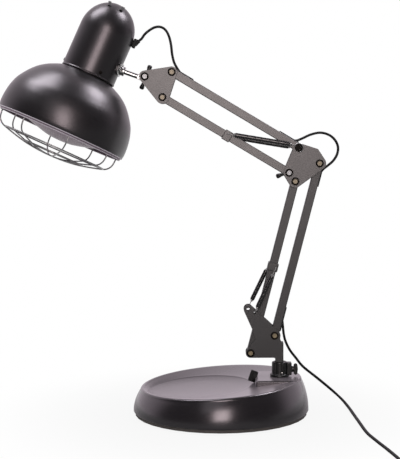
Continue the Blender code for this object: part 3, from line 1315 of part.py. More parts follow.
def make_head_fittings(assembly, looks):
    hug = HOUSING_RADIUS + GAP
    centre_height = (HOUSING_FRAME.inverted() @ (ROD_FOOT - ROD_DIRECTION * rod_at_radius(hug))).z
    low = centre_height - SADDLE_HALF_HEIGHT
    high = centre_height + SADDLE_HALF_HEIGHT
    rows = ((hug, low), (hug + SADDLE_SHEET, low), (hug + SADDLE_SHEET, high), (hug, high))
    saddle = lathe("rod_saddle", rows, HOUSING_FRAME, HOUSING_SEGMENTS, True)
    keep = block("saddle_keep", (0.0, -SADDLE_HALF_WIDTH, low - CUT_OVERRUN),
                 (hug + SADDLE_SHEET + CUT_OVERRUN, SADDLE_HALF_WIDTH, high + CUT_OVERRUN),
                 HOUSING_FRAME)
    boolean(saddle, keep, "INTERSECT")
    foot = ROD_FOOT - ROD_DIRECTION * rod_at_radius(hug + SADDLE_SHEET * 0.5)
    tip = ROD_FOOT - ROD_DIRECTION * (rod_at_radius(hug + SADDLE_SHEET) - SADDLE_COLLAR_LENGTH)
    join(saddle, cylinder("saddle_collar", foot, tip, SADDLE_COLLAR_RADIUS, ROUND_SEGMENTS))
    cut(saddle, cylinder("rod_bore", foot - ROD_DIRECTION * CUT_OVERRUN * 2.0,
                         tip + ROD_DIRECTION * CUT_OVERRUN, ROD_RADIUS + SLIP))
    assembly.add(saddle, "head", looks["chrome"])

    entry = HOUSING_BASE + GROMMET_HEIGHT
    outside = HOUSING_RADIUS + GAP
    grommet = block("cord_grommet", (outside, -GROMMET_HALF_WIDE, entry - GROMMET_HALF_TALL),
                    (outside + GROMMET_REACH, GROMMET_HALF_WIDE, entry + GROMMET_HALF_TALL),
                    HOUSING_FRAME, GROMMET_EDGE)
    inside = HOUSING_RADIUS - HOUSING_SHEET
    neck = cylinder("grommet_neck", housing_point(inside, 0.0, entry),
                    housing_point(outside + GROMMET_EDGE, 0.0, entry), GROMMET_NECK_RADIUS)
    spout_foot = housing_point(outside + GROMMET_REACH * 0.75, 0.0, entry)
    exit_point = spout_foot + CORD_WAY * SPOUT_LENGTH
    join(grommet, neck, cylinder("grommet_spout", spout_foot, exit_point, SPOUT_RADIUS))
    assembly.add(grommet, "head", looks["rubber"])
    return exit_point


def make_arm_cords(assembly, looks, exit_point):
    start = exit_point + CORD_WAY * CORD_END_GAP
    loop = [start + CORD_WAY * 2.0 * CORD_RADIUS]
    for number, (x, z) in enumerate(HEAD_LOOP_ROUTE):
        share = 1.0 - (number + 1.0) / len(HEAD_LOOP_ROUTE)
        loop.append(plane_point(x, z, loop[0].y * share * share))
    run_end = PIVOT_A + UPPER_DIRECTION * (BAR_RUN_INSET + CORD_END_GAP)
    upper = [start] + smooth_route(loop, CORD_SPACING) + [run_end]
    assembly.tube("upper_arm_cord", upper, CORD_RADIUS, "upper_top_bar", looks["cord"])

    start = PIVOT_A + UPPER_DIRECTION * BAR_RUN_INSET
    loop = [start] + [plane_point(x, z) for x, z in ELBOW_LOOP_ROUTE]
    run_end = PIVOT_F + LOWER_DIRECTION * (TAIL_RUN_INSET + CORD_END_GAP)
    lower = smooth_route(loop, CORD_SPACING) + [run_end]
    assembly.tube("lower_arm_cord", lower, CORD_RADIUS, "lower_rear_bar", looks["cord"])
    print("arm cord lengths", round(route_length(upper), 3), round(route_length(lower), 3), "m")


def coil_route():
    """Two flat layers: in along the floor, up at the middle, and out again above."""
    outer = COIL_INNER_RADIUS + COIL_PITCH * COIL_LAYER_TURNS
    total = 2.0 * COIL_LAYER_TURNS + COIL_CLIMB_TURNS
    points = [Vector((COIL_X - outer, COIL_Y + 2.0 * CORD_RADIUS, COIL_FLOOR_HEIGHT))]
    count = round(total * COIL_POINTS_PER_TURN)
    for index in range(count + 1):
        turns = index / COIL_POINTS_PER_TURN
        layer_end = COIL_LAYER_TURNS + COIL_CLIMB_TURNS
        if turns <= COIL_LAYER_TURNS:
            radius = outer - COIL_PITCH * turns
            climb = 0.0
        elif turns <= layer_end:
            share = (turns - COIL_LAYER_TURNS) / COIL_CLIMB_TURNS
            radius = COIL_INNER_RADIUS - COIL_CLIMB_DIP * math.sin(math.pi * share)
            climb = share * share * (3.0 - 2.0 * share)
        else:
            radius = COIL_INNER_RADIUS + COIL_PITCH * (turns - layer_end)
            climb = 1.0
        angle = math.pi + 2.0 * math.pi * turns
        points.append(Vector((COIL_X + radius * math.cos(angle), COIL_Y + radius * math.sin(angle),
                              COIL_FLOOR_HEIGHT + COIL_LAYER_HEIGHT * climb)))
    for _ in range(2):
        points.append(points[-1] + Vector((0.0, COIL_TAIL / 2.0, 0.0)))
    return points


def parted(route, place):
    """The route in two stretches that meet face to face near the place."""
    number = min(range(len(route)), key=lambda index: (route[index] - place).length)
    way = (route[number + 1] - route[number - 1]).normalized()
    half = way * CORD_END_GAP / 2.0
    lead = way * 2.0 * CORD_RADIUS
    upper_end = route[number] - half
    lower_end = route[number] + half
    return (route[:number] + [upper_end - lead, upper_end],
            [lower_end, lower_end + lead] + route[number + 1:])


def make_mains_cord(assembly, looks):
    coil = coil_route()
    start = PIVOT_F + LOWER_DIRECTION * TAIL_RUN_INSET
    last = coil[0] + Vector((0.0, CORD_END_GAP, 0.0))
    straight = last + Vector((0.0, 2.0 * CORD_RADIUS, 0.0))
    loop = [start - LOWER_DIRECTION * 2.0 * CORD_RADIUS]
    loop += [Vector(point) for point in TAIL_ROUTE + MAINS_ROUTE] + [straight]
    route = [start] + smooth_route(loop, CORD_SPACING) + [last]
    tail, mains = parted(route, Vector(TAIL_ROUTE[-1]))
    assembly.tube("tail_cord", tail, CORD_RADIUS, "swivel_bracket", looks["cord"])
    assembly.tube("mains_cord", mains, CORD_RADIUS, "base", looks["cord"])
    assembly.tube("cord_coil", coil, CORD_RADIUS, "base", looks["cord"], 1)
    gap = least_gap(coil, CORD_RADIUS, 6)
    print("coil: least gap to itself", round(gap * 1000.0, 2), "mm")
    print("mains cord length", round(route_length(route) + route_length(coil), 3), "m")

    back = coil[-1] + Vector((0.0, CORD_END_GAP, 0.0))
    half_thick = back.z - GAP
    bm = bmesh.new()
    rows = []
    for along, share in PLUG_SECTION_SHARES:
        wide = PLUG_HALF_WIDTH * share
        thick = half_thick * (0.55 + 0.45 * share)
        edge = PLUG_EDGE * share
        row = []
        for x, z in ((wide - edge, thick), (wide, thick - edge), (wide, edge - thick),
                     (wide - edge, -thick), (edge - wide, -thick), (-wide, edge - thick),
                     (-wide, thick - edge), (edge - wide, thick)):
            row.append(bm.verts.new(back + Vector((x, PLUG_LENGTH * along, z))))
        rows.append(row)
    for lower, upper in zip(rows, rows[1:]):
        bridge(bm, lower, upper)
    bm.faces.new(rows[0])
    bm.faces.new(rows[-1])
    plug = object_from(bm, "plug")
    for side in (-1.0, 1.0):
        x = back.x + side * BLADE_SPACING / 2.0
        blade = block("blade", (x - BLADE_HALF_THICKNESS, back.y + PLUG_LENGTH / 2.0,
                                back.z - BLADE_HALF_WIDTH),
                      (x + BLADE_HALF_THICKNESS, back.y + PLUG_LENGTH + BLADE_LENGTH,
                       back.z + BLADE_HALF_WIDTH))
        join(plug, blade)
    assembly.add(plug, "base", looks["dark_plastic"])


def make_bodies(assembly):
    assembly.body("base", (0.0, 0.0, 0.0))
    assembly.body("switch_knob", KNOB_CENTRE, "base")
    assembly.body("clamp_screw", plane_point(POST_X, CLAMP_HEIGHT), "base")
    assembly.body("swivel_bracket", plane_point(POST_X, SOCKET_BASE), "base")
    assembly.body("lower_front_bar", PIVOT_E, "swivel_bracket")
    assembly.body("lower_rear_bar", PIVOT_F, "swivel_bracket")
    assembly.body("elbow", PIVOT_D, "lower_rear_bar")
    assembly.body("elbow_wing", PIVOT_B, "elbow")
    assembly.body("upper_top_bar", PIVOT_A, "elbow")
    assembly.body("upper_bottom_bar", PIVOT_B, "elbow")
    assembly.body("head_plate", PIVOT_U, "upper_top_bar")
    assembly.body("head_wing", PIVOT_T, "head_plate")
    assembly.body("tilt_link", PIVOT_T, "head_plate")
    assembly.body("head", ROD_FOOT, "tilt_link")


def make_looks():
    return {
        "black_paint": material("black_paint", (0.020, 0.019, 0.021), 0.34, 0.0),
        "arm_paint": material("arm_paint", (0.050, 0.046, 0.048), 0.42, 0.3),
        "upper_paint": material("upper_paint", (0.20, 0.165, 0.165), 0.45, 0.3),
        "rubber": material("rubber", (0.012, 0.012, 0.012), 0.7, 0.0),
        "dark_plastic": material("dark_plastic", (0.016, 0.016, 0.018), 0.4, 0.0),
        "steel": material("steel", (0.45, 0.44, 0.44), 0.4, 0.9),
        "brass_steel": material("brass_steel", (0.62, 0.53, 0.36), 0.3, 1.0),
        "chrome": material("chrome", (0.78, 0.77, 0.78), 0.1, 1.0),
        "spring_wire": material("spring_wire", (0.5, 0.5, 0.5), 0.3, 1.0),
        "sleeve": material("sleeve", (0.02, 0.022, 0.022), 0.35, 0.0),
        "guard_wire": material("guard_wire", (0.22, 0.21, 0.22), 0.35, 0.9),
        "bulb_glass": material("bulb_glass", (0.32, 0.24, 0.27), 0.3, 0.0),
        "ceramic": material("ceramic", (0.7, 0.68, 0.64), 0.4, 0.0),
        "cord": material("cord", (0.012, 0.012, 0.012), 0.45, 0.0),
    }


def main():
    scene_cleared()
    assembly = Assembly()
    looks = make_looks()
    make_bodies(assembly)
    make_base(assembly, looks)
    make_post(assembly, looks)
    make_lower_arm(assembly, looks)
    make_elbow(assembly, looks)
    make_upper_arm(assembly, looks)
    make_head_plates(assembly, looks)
    make_tilt_link(assembly, looks)
    make_housing(assembly, looks)
    make_shade(assembly, looks)
    make_bulb(assembly, looks)
    make_guard(assembly, looks)
    exit_point = make_head_fittings(assembly, looks)
    make_arm_cords(assembly, looks, exit_point)
    make_mains_cord(assembly, looks)


main()
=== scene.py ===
"""Looks of the infrared heat therapy lamp, built around its CAD frame.

Lengths are metres in the frame of the CAD model: the origin is the middle of the base on the
ground, +X points to the post, +Y away from the camera and +Z up.
"""

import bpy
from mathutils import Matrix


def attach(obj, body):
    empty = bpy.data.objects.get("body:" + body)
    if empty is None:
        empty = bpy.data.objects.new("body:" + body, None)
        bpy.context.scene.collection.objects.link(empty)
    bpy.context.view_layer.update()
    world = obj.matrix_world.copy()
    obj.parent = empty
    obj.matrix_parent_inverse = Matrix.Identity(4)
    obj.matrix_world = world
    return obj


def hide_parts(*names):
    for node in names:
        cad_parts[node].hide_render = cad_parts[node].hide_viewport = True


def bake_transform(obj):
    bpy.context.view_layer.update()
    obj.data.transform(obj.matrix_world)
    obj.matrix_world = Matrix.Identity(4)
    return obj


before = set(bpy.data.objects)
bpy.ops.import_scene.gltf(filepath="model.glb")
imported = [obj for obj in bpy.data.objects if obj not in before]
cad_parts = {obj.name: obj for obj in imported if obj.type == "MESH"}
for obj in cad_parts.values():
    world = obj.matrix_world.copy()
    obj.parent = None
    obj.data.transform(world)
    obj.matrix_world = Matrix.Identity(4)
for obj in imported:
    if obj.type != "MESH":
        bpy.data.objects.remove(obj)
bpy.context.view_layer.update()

import math

import bmesh
import bpy
from mathutils import Matrix, Vector

SCENE = bpy.context.scene
SCENE.view_settings.view_transform = "Standard"
X_AXIS = Vector((1.0, 0.0, 0.0))
Y_AXIS = Vector((0.0, 1.0, 0.0))
Z_AXIS = Vector((0.0, 0.0, 1.0))


def way(degrees):
    """Direction in the arm's plane, this many degrees above +X."""
    return Vector((math.cos(math.radians(degrees)), 0.0, math.sin(math.radians(degrees))))


def basis(x_axis, y_axis, z_axis):
    return Matrix((x_axis, y_axis, z_axis)).transposed().to_4x4()


# Camera of the photograph, whose frame is 400 pixels wide
CAMERA_PLACE = Vector((0.0, -1.42, 0.3445))
CAMERA_AIM = Vector((-0.0249, 0.0, 0.2324))
CAMERA_ROLL = math.radians(-0.4)
SENSOR_WIDTH = 36.0
FOCAL_PIXELS = 1142.2
FRAME_PIXELS = 400.0

# Base, as in the CAD model
BASE_RADIUS = 0.110
BASE_GROUND = 0.0058
RIM_HEIGHT = 0.0408
RIM_SLOPE = 0.066
PLINTH_FOOT = 0.0345
PLINTH_TOP = 0.0470
PLINTH_FACE_X = 0.0435
PLINTH_HALF_WIDTH = 0.031
PLINTH_END_RADIUS = 0.0965
POST_X = 0.074
SOCKET_BASE = 0.0473
SOCKET_TOP = 0.0654
CLAMP_HEIGHT = 0.0558
KNOB_AXIS = way(180.0 - 19.0)
KNOB_BACK = Vector((0.0410, 0.0, 0.0468)) - KNOB_AXIS * 0.0042

# Pivots of the arm
E = Vector((0.0375, 0.0, 0.0775))
F = Vector((0.0676, 0.0, 0.0995))
LOWER_WAY = way(90.0 - 14.6)
LOWER_LENGTH = 0.2216
C = E + LOWER_WAY * LOWER_LENGTH
D = F + LOWER_WAY * LOWER_LENGTH
A = D + Vector((-0.0258, 0.0, 0.0194))
B = A + Vector((-0.0118, 0.0, -0.0307))
UPPER_WAY = way(180.0 - 31.08)
UPPER_LENGTH = 0.1820
U = A + UPPER_WAY * UPPER_LENGTH
L = B + UPPER_WAY * UPPER_LENGTH
T = U + Vector((-0.0333, 0.0, -0.0052))

# Plates, bars and springs
PLATE_INNER = 0.0053
PLATE_OUTER = 0.0071
EAR = E + Vector((-0.0028, 0.0, 0.0548))
EAR_SECOND = EAR + Vector((0.0079, 0.0, -0.0043))
LOWER_HOLD = E + LOWER_WAY * 0.1115
UPPER_HOLD = B + UPPER_WAY * 0.0888
BAR_RADIUS = 0.00505
SPRING_OUT = 0.0087
SPRING_PITCH = 0.00135
SPRING_RADIUS = 0.00175
SLEEVE_RADIUS = 0.0028
SLEEVE_BORE = 0.0024

# Head, leaning about its rod
TILT = 24.2
ROD_SLOPE = 19.6
ROD_WAY = way(-ROD_SLOPE)
ROD_FOOT = T - way(90.0 - ROD_SLOPE) * 0.0028
LEANING = (Matrix.Translation(ROD_FOOT) @ Matrix.Rotation(math.radians(-4.7), 4, ROD_WAY)
           @ Matrix.Translation(-ROD_FOOT))
HEAD_FRAME = (LEANING @ Matrix.Translation(T + Vector((-0.1044, 0.0, -0.0686)))
              @ basis(way(-TILT), Y_AXIS, way(90.0 - TILT)))
HOUSING_FRAME = HEAD_FRAME @ Matrix.Translation((0.002, 0.0, 0.0))
HOUSING_RADIUS = 0.0342
HOUSING_BASE = 0.0784
HOUSING_SHOULDER = 0.1349
HOUSING_CAP = 0.0385
HOUSING_SHEET = 0.0012
VENT_RISE = 0.77
SADDLE_SEAT = HOUSING_RADIUS + 0.0003
CORD_WAY = LEANING.to_3x3() @ way(40.0)
CORD_ENTRY = HOUSING_BASE + 0.0591
SPOUT_FOOT = HOUSING_FRAME @ Vector((SADDLE_SEAT + 0.0034, 0.0, CORD_ENTRY))
CORD_EXIT = SPOUT_FOOT + CORD_WAY * 0.0062

# Shade and bulb, as shares of their height and of their radius
SHADE_SHARES = (
    (0.0, 1.0), (0.07, 1.022), (0.20, 1.018), (0.33, 0.989), (0.43, 0.949), (0.53, 0.888),
    (0.63, 0.792), (0.73, 0.675), (0.82, 0.542), (0.90, 0.371), (0.965, 0.174), (1.0, 0.039),
)
SHADE_NECK = 0.0306
SHADE_RIM = 0.0815
SHADE_HEIGHT = 0.078
SHADE_SHEET = 0.0012
BULB_SHARES = (
    (0.0, 0.0), (0.004, 0.17), (0.015, 0.33), (0.056, 0.66), (0.1, 0.89), (0.135, 0.985),
    (0.17, 1.0), (0.262, 0.926), (0.431, 0.74), (0.54, 0.575), (0.615, 0.455), (0.70, 0.345),
    (0.77, 0.281), (0.8, 0.218),
)
BULB_RADIUS = 0.0605
BULB_LENGTH = 0.130
BULB_FACE = 0.0095
BULB_LENS_SHARE = 0.17
BULB_THREADS = 14

# Cord: the routes of the CAD model
CORD_HALF_WIDTH = 0.0021
CORD_HALF_THICK = 0.00165
HEAD_LOOP = (
    (-0.0910, 0.4748), (-0.0842, 0.4800), (-0.0780, 0.4828), (-0.0715, 0.4828),
    (-0.0656, 0.4790), (-0.0614, 0.4710), (-0.0590, 0.4605), (-0.0578, 0.4495),
    (-0.0553, 0.4390), (-0.0503, 0.4300), (-0.0452, 0.4232), (-0.0395, 0.4172),
)
ELBOW_LOOP = (
    (0.0778, 0.3458), (0.0856, 0.3434), (0.0945, 0.3420), (0.1030, 0.3450),
    (0.1128, 0.3494), (0.1247, 0.3517), (0.1352, 0.3490), (0.1426, 0.3429),
    (0.1465, 0.3346), (0.1458, 0.3257), (0.1412, 0.3175), (0.1350, 0.3118),
    (0.1288, 0.3070), (0.1240, 0.3012), (0.1186, 0.2940),
)
MAINS_ROUTE = (
    (0.0761, 0.0000, 0.1268), (0.0774, 0.0000, 0.1186), (0.0783, 0.0000, 0.1092),
    (0.0793, 0.0000, 0.1000), (0.0817, 0.0004, 0.0905), (0.0871, 0.0014, 0.0795),
    (0.0944, 0.0034, 0.0697), (0.1040, 0.0070, 0.0574), (0.1228, 0.0200, 0.0402),
    (0.1420, 0.0330, 0.0222), (0.1555, 0.0315, 0.0098), (0.1625, 0.0125, 0.0033),
    (0.1650, -0.0150, 0.0018), (0.1672, -0.0560, 0.0018), (0.1703, -0.1067, 0.0018),
    (0.1765, -0.1430, 0.0018), (0.1835, -0.1780, 0.0018), (0.1905, -0.2180, 0.0018),
    (0.1929, -0.2430, 0.0018),
)
COIL_CENTRE = Vector((0.2286, -0.2620, 0.0018))
COIL_INNER = 0.0195
COIL_PITCH = 0.0046
COIL_LAYER_TURNS = 3.5
COIL_CLIMB_TURNS = 0.5
COIL_CLIMB_DIP = 0.0011
COIL_LAYER_RISE = 0.0036
COIL_STEPS = 36
COIL_TAIL = 0.0215
PLUG_HEIGHT = 0.0083

# The sky lights the lamp evenly. Reflections meet a lilac white backdrop beyond it and a dimmer
# studio on the side that the photograph was taken from, easing from one to the other with the
# ray's direction along +Y
SKY_LEVEL = 0.85
NEAR_SIDE_LEVEL = 0.14
MIRRORED_TONE = (1.0, 0.89, 0.97)
MIRROR_NEAR = -0.25
MIRROR_FAR = 0.35
WHITE = (1.0, 1.0, 1.0, 1.0)
FLOOR_GREY = (0.50, 0.50, 0.50, 1.0)
FLOOR_HALF = 6.0
FLOOR_HEIGHT = -0.0002
# The floor is greyer within this reach of the base, a painted shade round it through which the real
# shadow also shows, and plain background past the end
SHADOW_REACH = 0.12
SHADOW_END = 0.34
SHADOW_GLOW = 0.90
HEAD_MIDDLE = Vector((-0.18, 0.0, 0.40))
CARD_DISTANCE = 1.6
CARD_TONE = (0.98, 0.95, 1.0)


def make_camera():
    data = bpy.data.cameras.new("photo_camera")
    data.sensor_fit = "HORIZONTAL"
    data.sensor_width = SENSOR_WIDTH
    data.lens = FOCAL_PIXELS / FRAME_PIXELS * SENSOR_WIDTH
    camera = bpy.data.objects.new("photo_camera", data)
    SCENE.collection.objects.link(camera)
    ahead = (CAMERA_AIM - CAMERA_PLACE).normalized()
    right = ahead.cross(Z_AXIS).normalized()
    up = right.cross(ahead)
    across = right * math.cos(CAMERA_ROLL) + up * math.sin(CAMERA_ROLL)
    upright = up * math.cos(CAMERA_ROLL) - right * math.sin(CAMERA_ROLL)
    camera.matrix_world = Matrix.Translation(CAMERA_PLACE) @ basis(across, upright, -ahead)
    SCENE.camera = camera


# Materials

def add(tree, kind, inputs=(), **settings):
    """Adds a shader node. Each input takes a value, or the output that feeds it."""
    node = tree.nodes.new("ShaderNode" + kind)
    for name, setting in settings.items():
        setattr(node, name, setting)
    for name, value in dict(inputs).items():
        if isinstance(value, bpy.types.NodeSocket):
            tree.links.new(value, node.inputs[name])
        else:
            node.inputs[name].default_value = value
    return node


def noise(tree, place, scale, detail=3.0):
    grain = add(tree, "TexNoise", {"Vector": place, "Scale": scale, "Detail": detail})
    return grain.outputs["Fac"]


def finish(name, dark, light, rough, metallic=0.0, level=0.5, patches=60.0, grain=1400.0,
           bump=0.05, depth=0.0001, cells=0.0, sheen=0.0, tint=None):
    """Principled finish whose colour and roughness drift over the surface, with a fine relief."""
    made = bpy.data.materials.new(name)
    made.use_nodes = True
    tree = made.node_tree
    place = add(tree, "TexCoord").outputs["Object"]
    if cells:
        pebbles = add(tree, "TexVoronoi", {"Vector": place, "Scale": cells, "Detail": 0.0})
        drift = pebbles.outputs["Distance"]
    else:
        drift = noise(tree, place, patches)
    ramp = add(tree, "ValToRGB", {"Fac": drift})
    for stop, position, colour in zip(ramp.color_ramp.elements, (0.3, 0.7), (dark, light)):
        stop.position = position
        stop.color = (*colour, 1.0)
    spread = add(tree, "MapRange", {"Value": noise(tree, place, patches * 4.0),
                                    "To Min": rough[0], "To Max": rough[1]})
    relief = add(tree, "Bump", {"Strength": bump, "Distance": depth,
                                "Height": drift if cells else noise(tree, place, grain, 2.0)})
    sockets = tree.nodes["Principled BSDF"].inputs
    sockets["Metallic"].default_value = metallic
    sockets["Specular IOR Level"].default_value = level
    if sheen:
        sockets["Sheen Weight"].default_value = sheen
        sockets["Sheen Roughness"].default_value = 0.35
        sockets["Sheen Tint"].default_value = (1.0, 0.86, 0.97, 1.0)
    if tint:
        sockets["Specular Tint"].default_value = (*tint, 1.0)
    tree.links.new(ramp.outputs["Color"], sockets["Base Color"])
    tree.links.new(spread.outputs["Result"], sockets["Roughness"])
    tree.links.new(relief.outputs["Normal"], sockets["Normal"])
    return made


LILAC = (1.0, 0.93, 0.99)
LOOKS = {
    "shade": finish("shade_paint", (0.0026, 0.0024, 0.0027), (0.0038, 0.0035, 0.0039),
                    (0.31, 0.37), level=0.46, sheen=0.05, tint=LILAC),
    "base": finish("base_paint", (0.0032, 0.0029, 0.0032), (0.0044, 0.0040, 0.0044),
                   (0.21, 0.27), level=0.80, sheen=0.42, tint=LILAC),
    "inside": finish("shade_lining", (0.52, 0.46, 0.52), (0.60, 0.54, 0.60), (0.42, 0.5),
                     level=0.3, bump=0.10),
    "arm": finish("arm_paint", (0.024, 0.022, 0.023), (0.030, 0.028, 0.029), (0.40, 0.46),
                  level=0.38, patches=25.0, grain=300.0, bump=0.012),
    # The upper and elbow finishes are the arm's black paint made lighter. This is painted light for
    # the front light that falls on the upper arm and the elbow; the whole arm has one paint
    "upper": finish("upper_paint", (0.045, 0.038, 0.038), (0.056, 0.048, 0.047), (0.40, 0.46),
                    level=0.60, patches=25.0, grain=300.0, bump=0.012),
    "elbow": finish("elbow_paint_painted_light", (0.036, 0.031, 0.031), (0.045, 0.039, 0.039), (0.40, 0.46),
                    level=0.56, patches=25.0, grain=300.0, bump=0.012),
    "plastic": finish("dark_plastic", (0.004, 0.004, 0.0045), (0.0065, 0.0065, 0.007),
                      (0.32, 0.42), level=0.3, bump=0.12),
    "rubber": finish("soft_rubber", (0.006, 0.006, 0.006), (0.010, 0.010, 0.010), (0.6, 0.72),
                     level=0.2, bump=0.2),
    "cord": finish("cord_cover", (0.006, 0.006, 0.0064), (0.009, 0.009, 0.0095), (0.52, 0.62),
                   level=0.12, patches=120.0, bump=0.03),
    "steel": finish("zinc_steel", (0.40, 0.39, 0.39), (0.52, 0.51, 0.50), (0.30, 0.42),
                    metallic=1.0, patches=180.0, bump=0.1),
    "pewter": finish("pewter_tab", (0.20, 0.19, 0.20), (0.28, 0.27, 0.28), (0.40, 0.5),
                     metallic=0.05, level=0.3, patches=180.0, bump=0.1),
    "plate": finish("plate_steel", (0.075, 0.066, 0.062), (0.100, 0.088, 0.083), (0.45, 0.6),
                    metallic=0.2, level=0.2, patches=90.0, bump=0.15),
    "brass": finish("brass_zinc", (0.24, 0.175, 0.095), (0.40, 0.31, 0.19), (0.30, 0.42),
                    metallic=0.02, level=0.3, patches=420.0, bump=0.1),
    "zinc": finish("zinc_head", (0.34, 0.33, 0.34), (0.50, 0.49, 0.50), (0.25, 0.35),
                   metallic=0.04, level=0.4, patches=420.0, bump=0.1),
    "chrome": finish("chrome_steel", (0.28, 0.28, 0.28), (0.36, 0.36, 0.355), (0.18, 0.26),
                     metallic=1.0, patches=80.0, bump=0.03),
    "washer": finish("washer_black", (0.005, 0.003, 0.0022), (0.009, 0.006, 0.004), (0.5, 0.62),
                     level=0.06, patches=220.0, bump=0.1),
    "rim": finish("rim_band", (0.20, 0.155, 0.185), (0.26, 0.20, 0.24), (0.45, 0.55), level=0.2),
    "spring": finish("spring_wire", (0.16, 0.16, 0.16), (0.26, 0.255, 0.255), (0.30, 0.42),
                     metallic=0.5, patches=200.0),
    "sleeve": finish("sleeve_film", (0.006, 0.006, 0.0065), (0.010, 0.010, 0.011), (0.18, 0.28),
                     level=0.4, patches=160.0, grain=500.0, bump=0.25),
    "wire": finish("guard_wire", (0.17, 0.165, 0.17), (0.27, 0.265, 0.27), (0.28, 0.38),
                   metallic=0.5, patches=160.0),
    "lens": finish("bulb_lens", (0.20, 0.135, 0.175), (0.37, 0.285, 0.34), (0.30, 0.40),
                   level=0.3, cells=640.0, bump=0.6, depth=0.0006),
    "glass": finish("bulb_side", (0.42, 0.38, 0.40), (0.50, 0.46, 0.48), (0.26, 0.34),
                    bump=0.1),
    "ceramic": finish("holder_ceramic", (0.62, 0.60, 0.56), (0.70, 0.68, 0.64), (0.30, 0.42),
                      bump=0.12),
}


# Mesh making

SHARP_ANGLE = 32.0


def circle(radius, count=10):
    return [(radius * math.cos(2.0 * math.pi * index / count),
             radius * math.sin(2.0 * math.pi * index / count)) for index in range(count)]


def squircle(wide, tall, count, power):
    """Points of a box with round corners, squarer at a smaller power."""
    return [(wide * math.copysign(abs(c) ** power, c), tall * math.copysign(abs(s) ** power, s))
            for c, s in circle(1.0, count)]


def object_from(bm, name, *looks, angle=SHARP_ANGLE):
    bmesh.ops.recalc_face_normals(bm, faces=bm.faces)
    mesh = bpy.data.meshes.new(name)
    bm.to_mesh(mesh)
    bm.free()
    for look in looks:
        mesh.materials.append(LOOKS[look])
    made = bpy.data.objects.new(name, mesh)
    SCENE.collection.objects.link(made)
    smooth(made, angle)
    return made


def applied(made):
    graph = bpy.context.evaluated_depsgraph_get()
    mesh = bpy.data.meshes.new_from_object(made.evaluated_get(graph))
    made.modifiers.clear()
    made.data = mesh


def smooth(made, angle=SHARP_ANGLE):
    """Shades large faces flat and their eased edges round."""
    made.data.shade_smooth()
    made.data.set_sharp_from_angle(angle=math.radians(angle))
    modifier = made.modifiers.new("even", "WEIGHTED_NORMAL")
    modifier.keep_sharp = True
    applied(made)


def cut(target, bm):
    """Takes the solids of a bmesh out of the target."""
    tool = object_from(bm, "tool")
    modifier = target.modifiers.new("cut", "BOOLEAN")
    modifier.operation = "DIFFERENCE"
    modifier.solver = "EXACT"
    modifier.object = tool
    applied(target)
    bpy.data.objects.remove(tool, do_unlink=True)
    smooth(target)


def piece(made, body, slot, *nodes):
    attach(made, body)
    if nodes:
        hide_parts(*nodes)
    return made


def frame_at(centre, axis, side=None):
    """Matrix whose Z runs along the axis and whose X leans towards side."""
    z_axis = Vector(axis).normalized()
    hint = Vector(side) if side else -Y_AXIS
    if abs(hint.normalized().dot(z_axis)) > 0.99:
        hint = X_AXIS.copy()
    x_axis = (hint - z_axis * hint.dot(z_axis)).normalized()
    return Matrix.Translation(centre) @ basis(x_axis, z_axis.cross(x_axis), z_axis)


def bridge(bm, lower, upper, look=0):
    """Faces between two rings of points; a ring of one point is a tip."""
    made = []
    if len(lower) == 1 or len(upper) == 1:
        tip, ring = (lower[0], upper) if len(lower) == 1 else (upper[0], lower)
        for index in range(len(ring)):
            made.append(bm.faces.new((tip, ring[index], ring[(index + 1) % len(ring)])))
    else:
        for index in range(len(lower)):
            after = (index + 1) % len(lower)
            made.append(bm.faces.new((lower[index], lower[after], upper[after], upper[index])))
    for face in made:
        face.material_index = look


def skin(bm, rings, capped=True):
    for lower, upper in zip(rings, rings[1:]):
        bridge(bm, lower, upper)
    if capped:
        bm.faces.new(rings[0])
        bm.faces.new(rings[-1])


def turned(bm, profile, placed, segments=48, ring=False, hexes=()):
    """Adds a turned solid. A profile row is (radius, height) or (radius, height, look)."""
    rows = []
    for number, row in enumerate(profile):
        if row[0] < 1e-6:
            rows.append([bm.verts.new(placed @ Vector((0.0, 0.0, row[1])))])
            continue
        made = []
        for index in range(segments):
            angle = 2.0 * math.pi * index / segments
            reach = row[0]
            if number in hexes:
                reach /= math.cos(angle % (math.pi / 3.0) - math.pi / 6.0)
            made.append(bm.verts.new(placed @ Vector((
                reach * math.cos(angle), reach * math.sin(angle), row[1]))))
        rows.append(made)
    pairs = list(zip(rows, rows[1:], profile))
    if ring:
        pairs.append((rows[-1], rows[0], profile[-1]))
    for lower, upper, row in pairs:
        bridge(bm, lower, upper, row[2] if len(row) > 2 else 0)


def pin(bm, radius, low, high, placed, segments=24, look=0):
    """Adds a plain cylinder."""
    turned(bm, ((0.0, low, look), (radius, low, look), (radius, high, look), (0.0, high, look)),
           placed, segments)


def lathe(name, profile, placed, *looks, segments=96, ring=False):
    bm = bmesh.new()
    turned(bm, profile, placed, segments, ring)
    return object_from(bm, name, *looks)


def box_into(bm, low, high, placed=None, edge=0.0, look=0, segments=2):
    grown = bmesh.ops.create_cube(bm, size=1.0)["verts"]
    low, high = Vector(low), Vector(high)
    bmesh.ops.scale(bm, vec=high - low, verts=grown)
    bmesh.ops.translate(bm, vec=(high + low) / 2.0, verts=grown)
    faces = {face for vert in grown for face in vert.link_faces}
    for face in faces:
        face.material_index = look
    if edge:
        edges = {side for face in faces for side in face.edges}
        result = bmesh.ops.bevel(bm, geom=list(edges), offset=edge, segments=segments,
                                 affect="EDGES", profile=0.5)
        grown = list({vert for face in result["faces"] for vert in face.verts}
                     | {vert for vert in grown if vert.is_valid})
    if placed:
        bmesh.ops.transform(bm, matrix=placed, verts=grown)


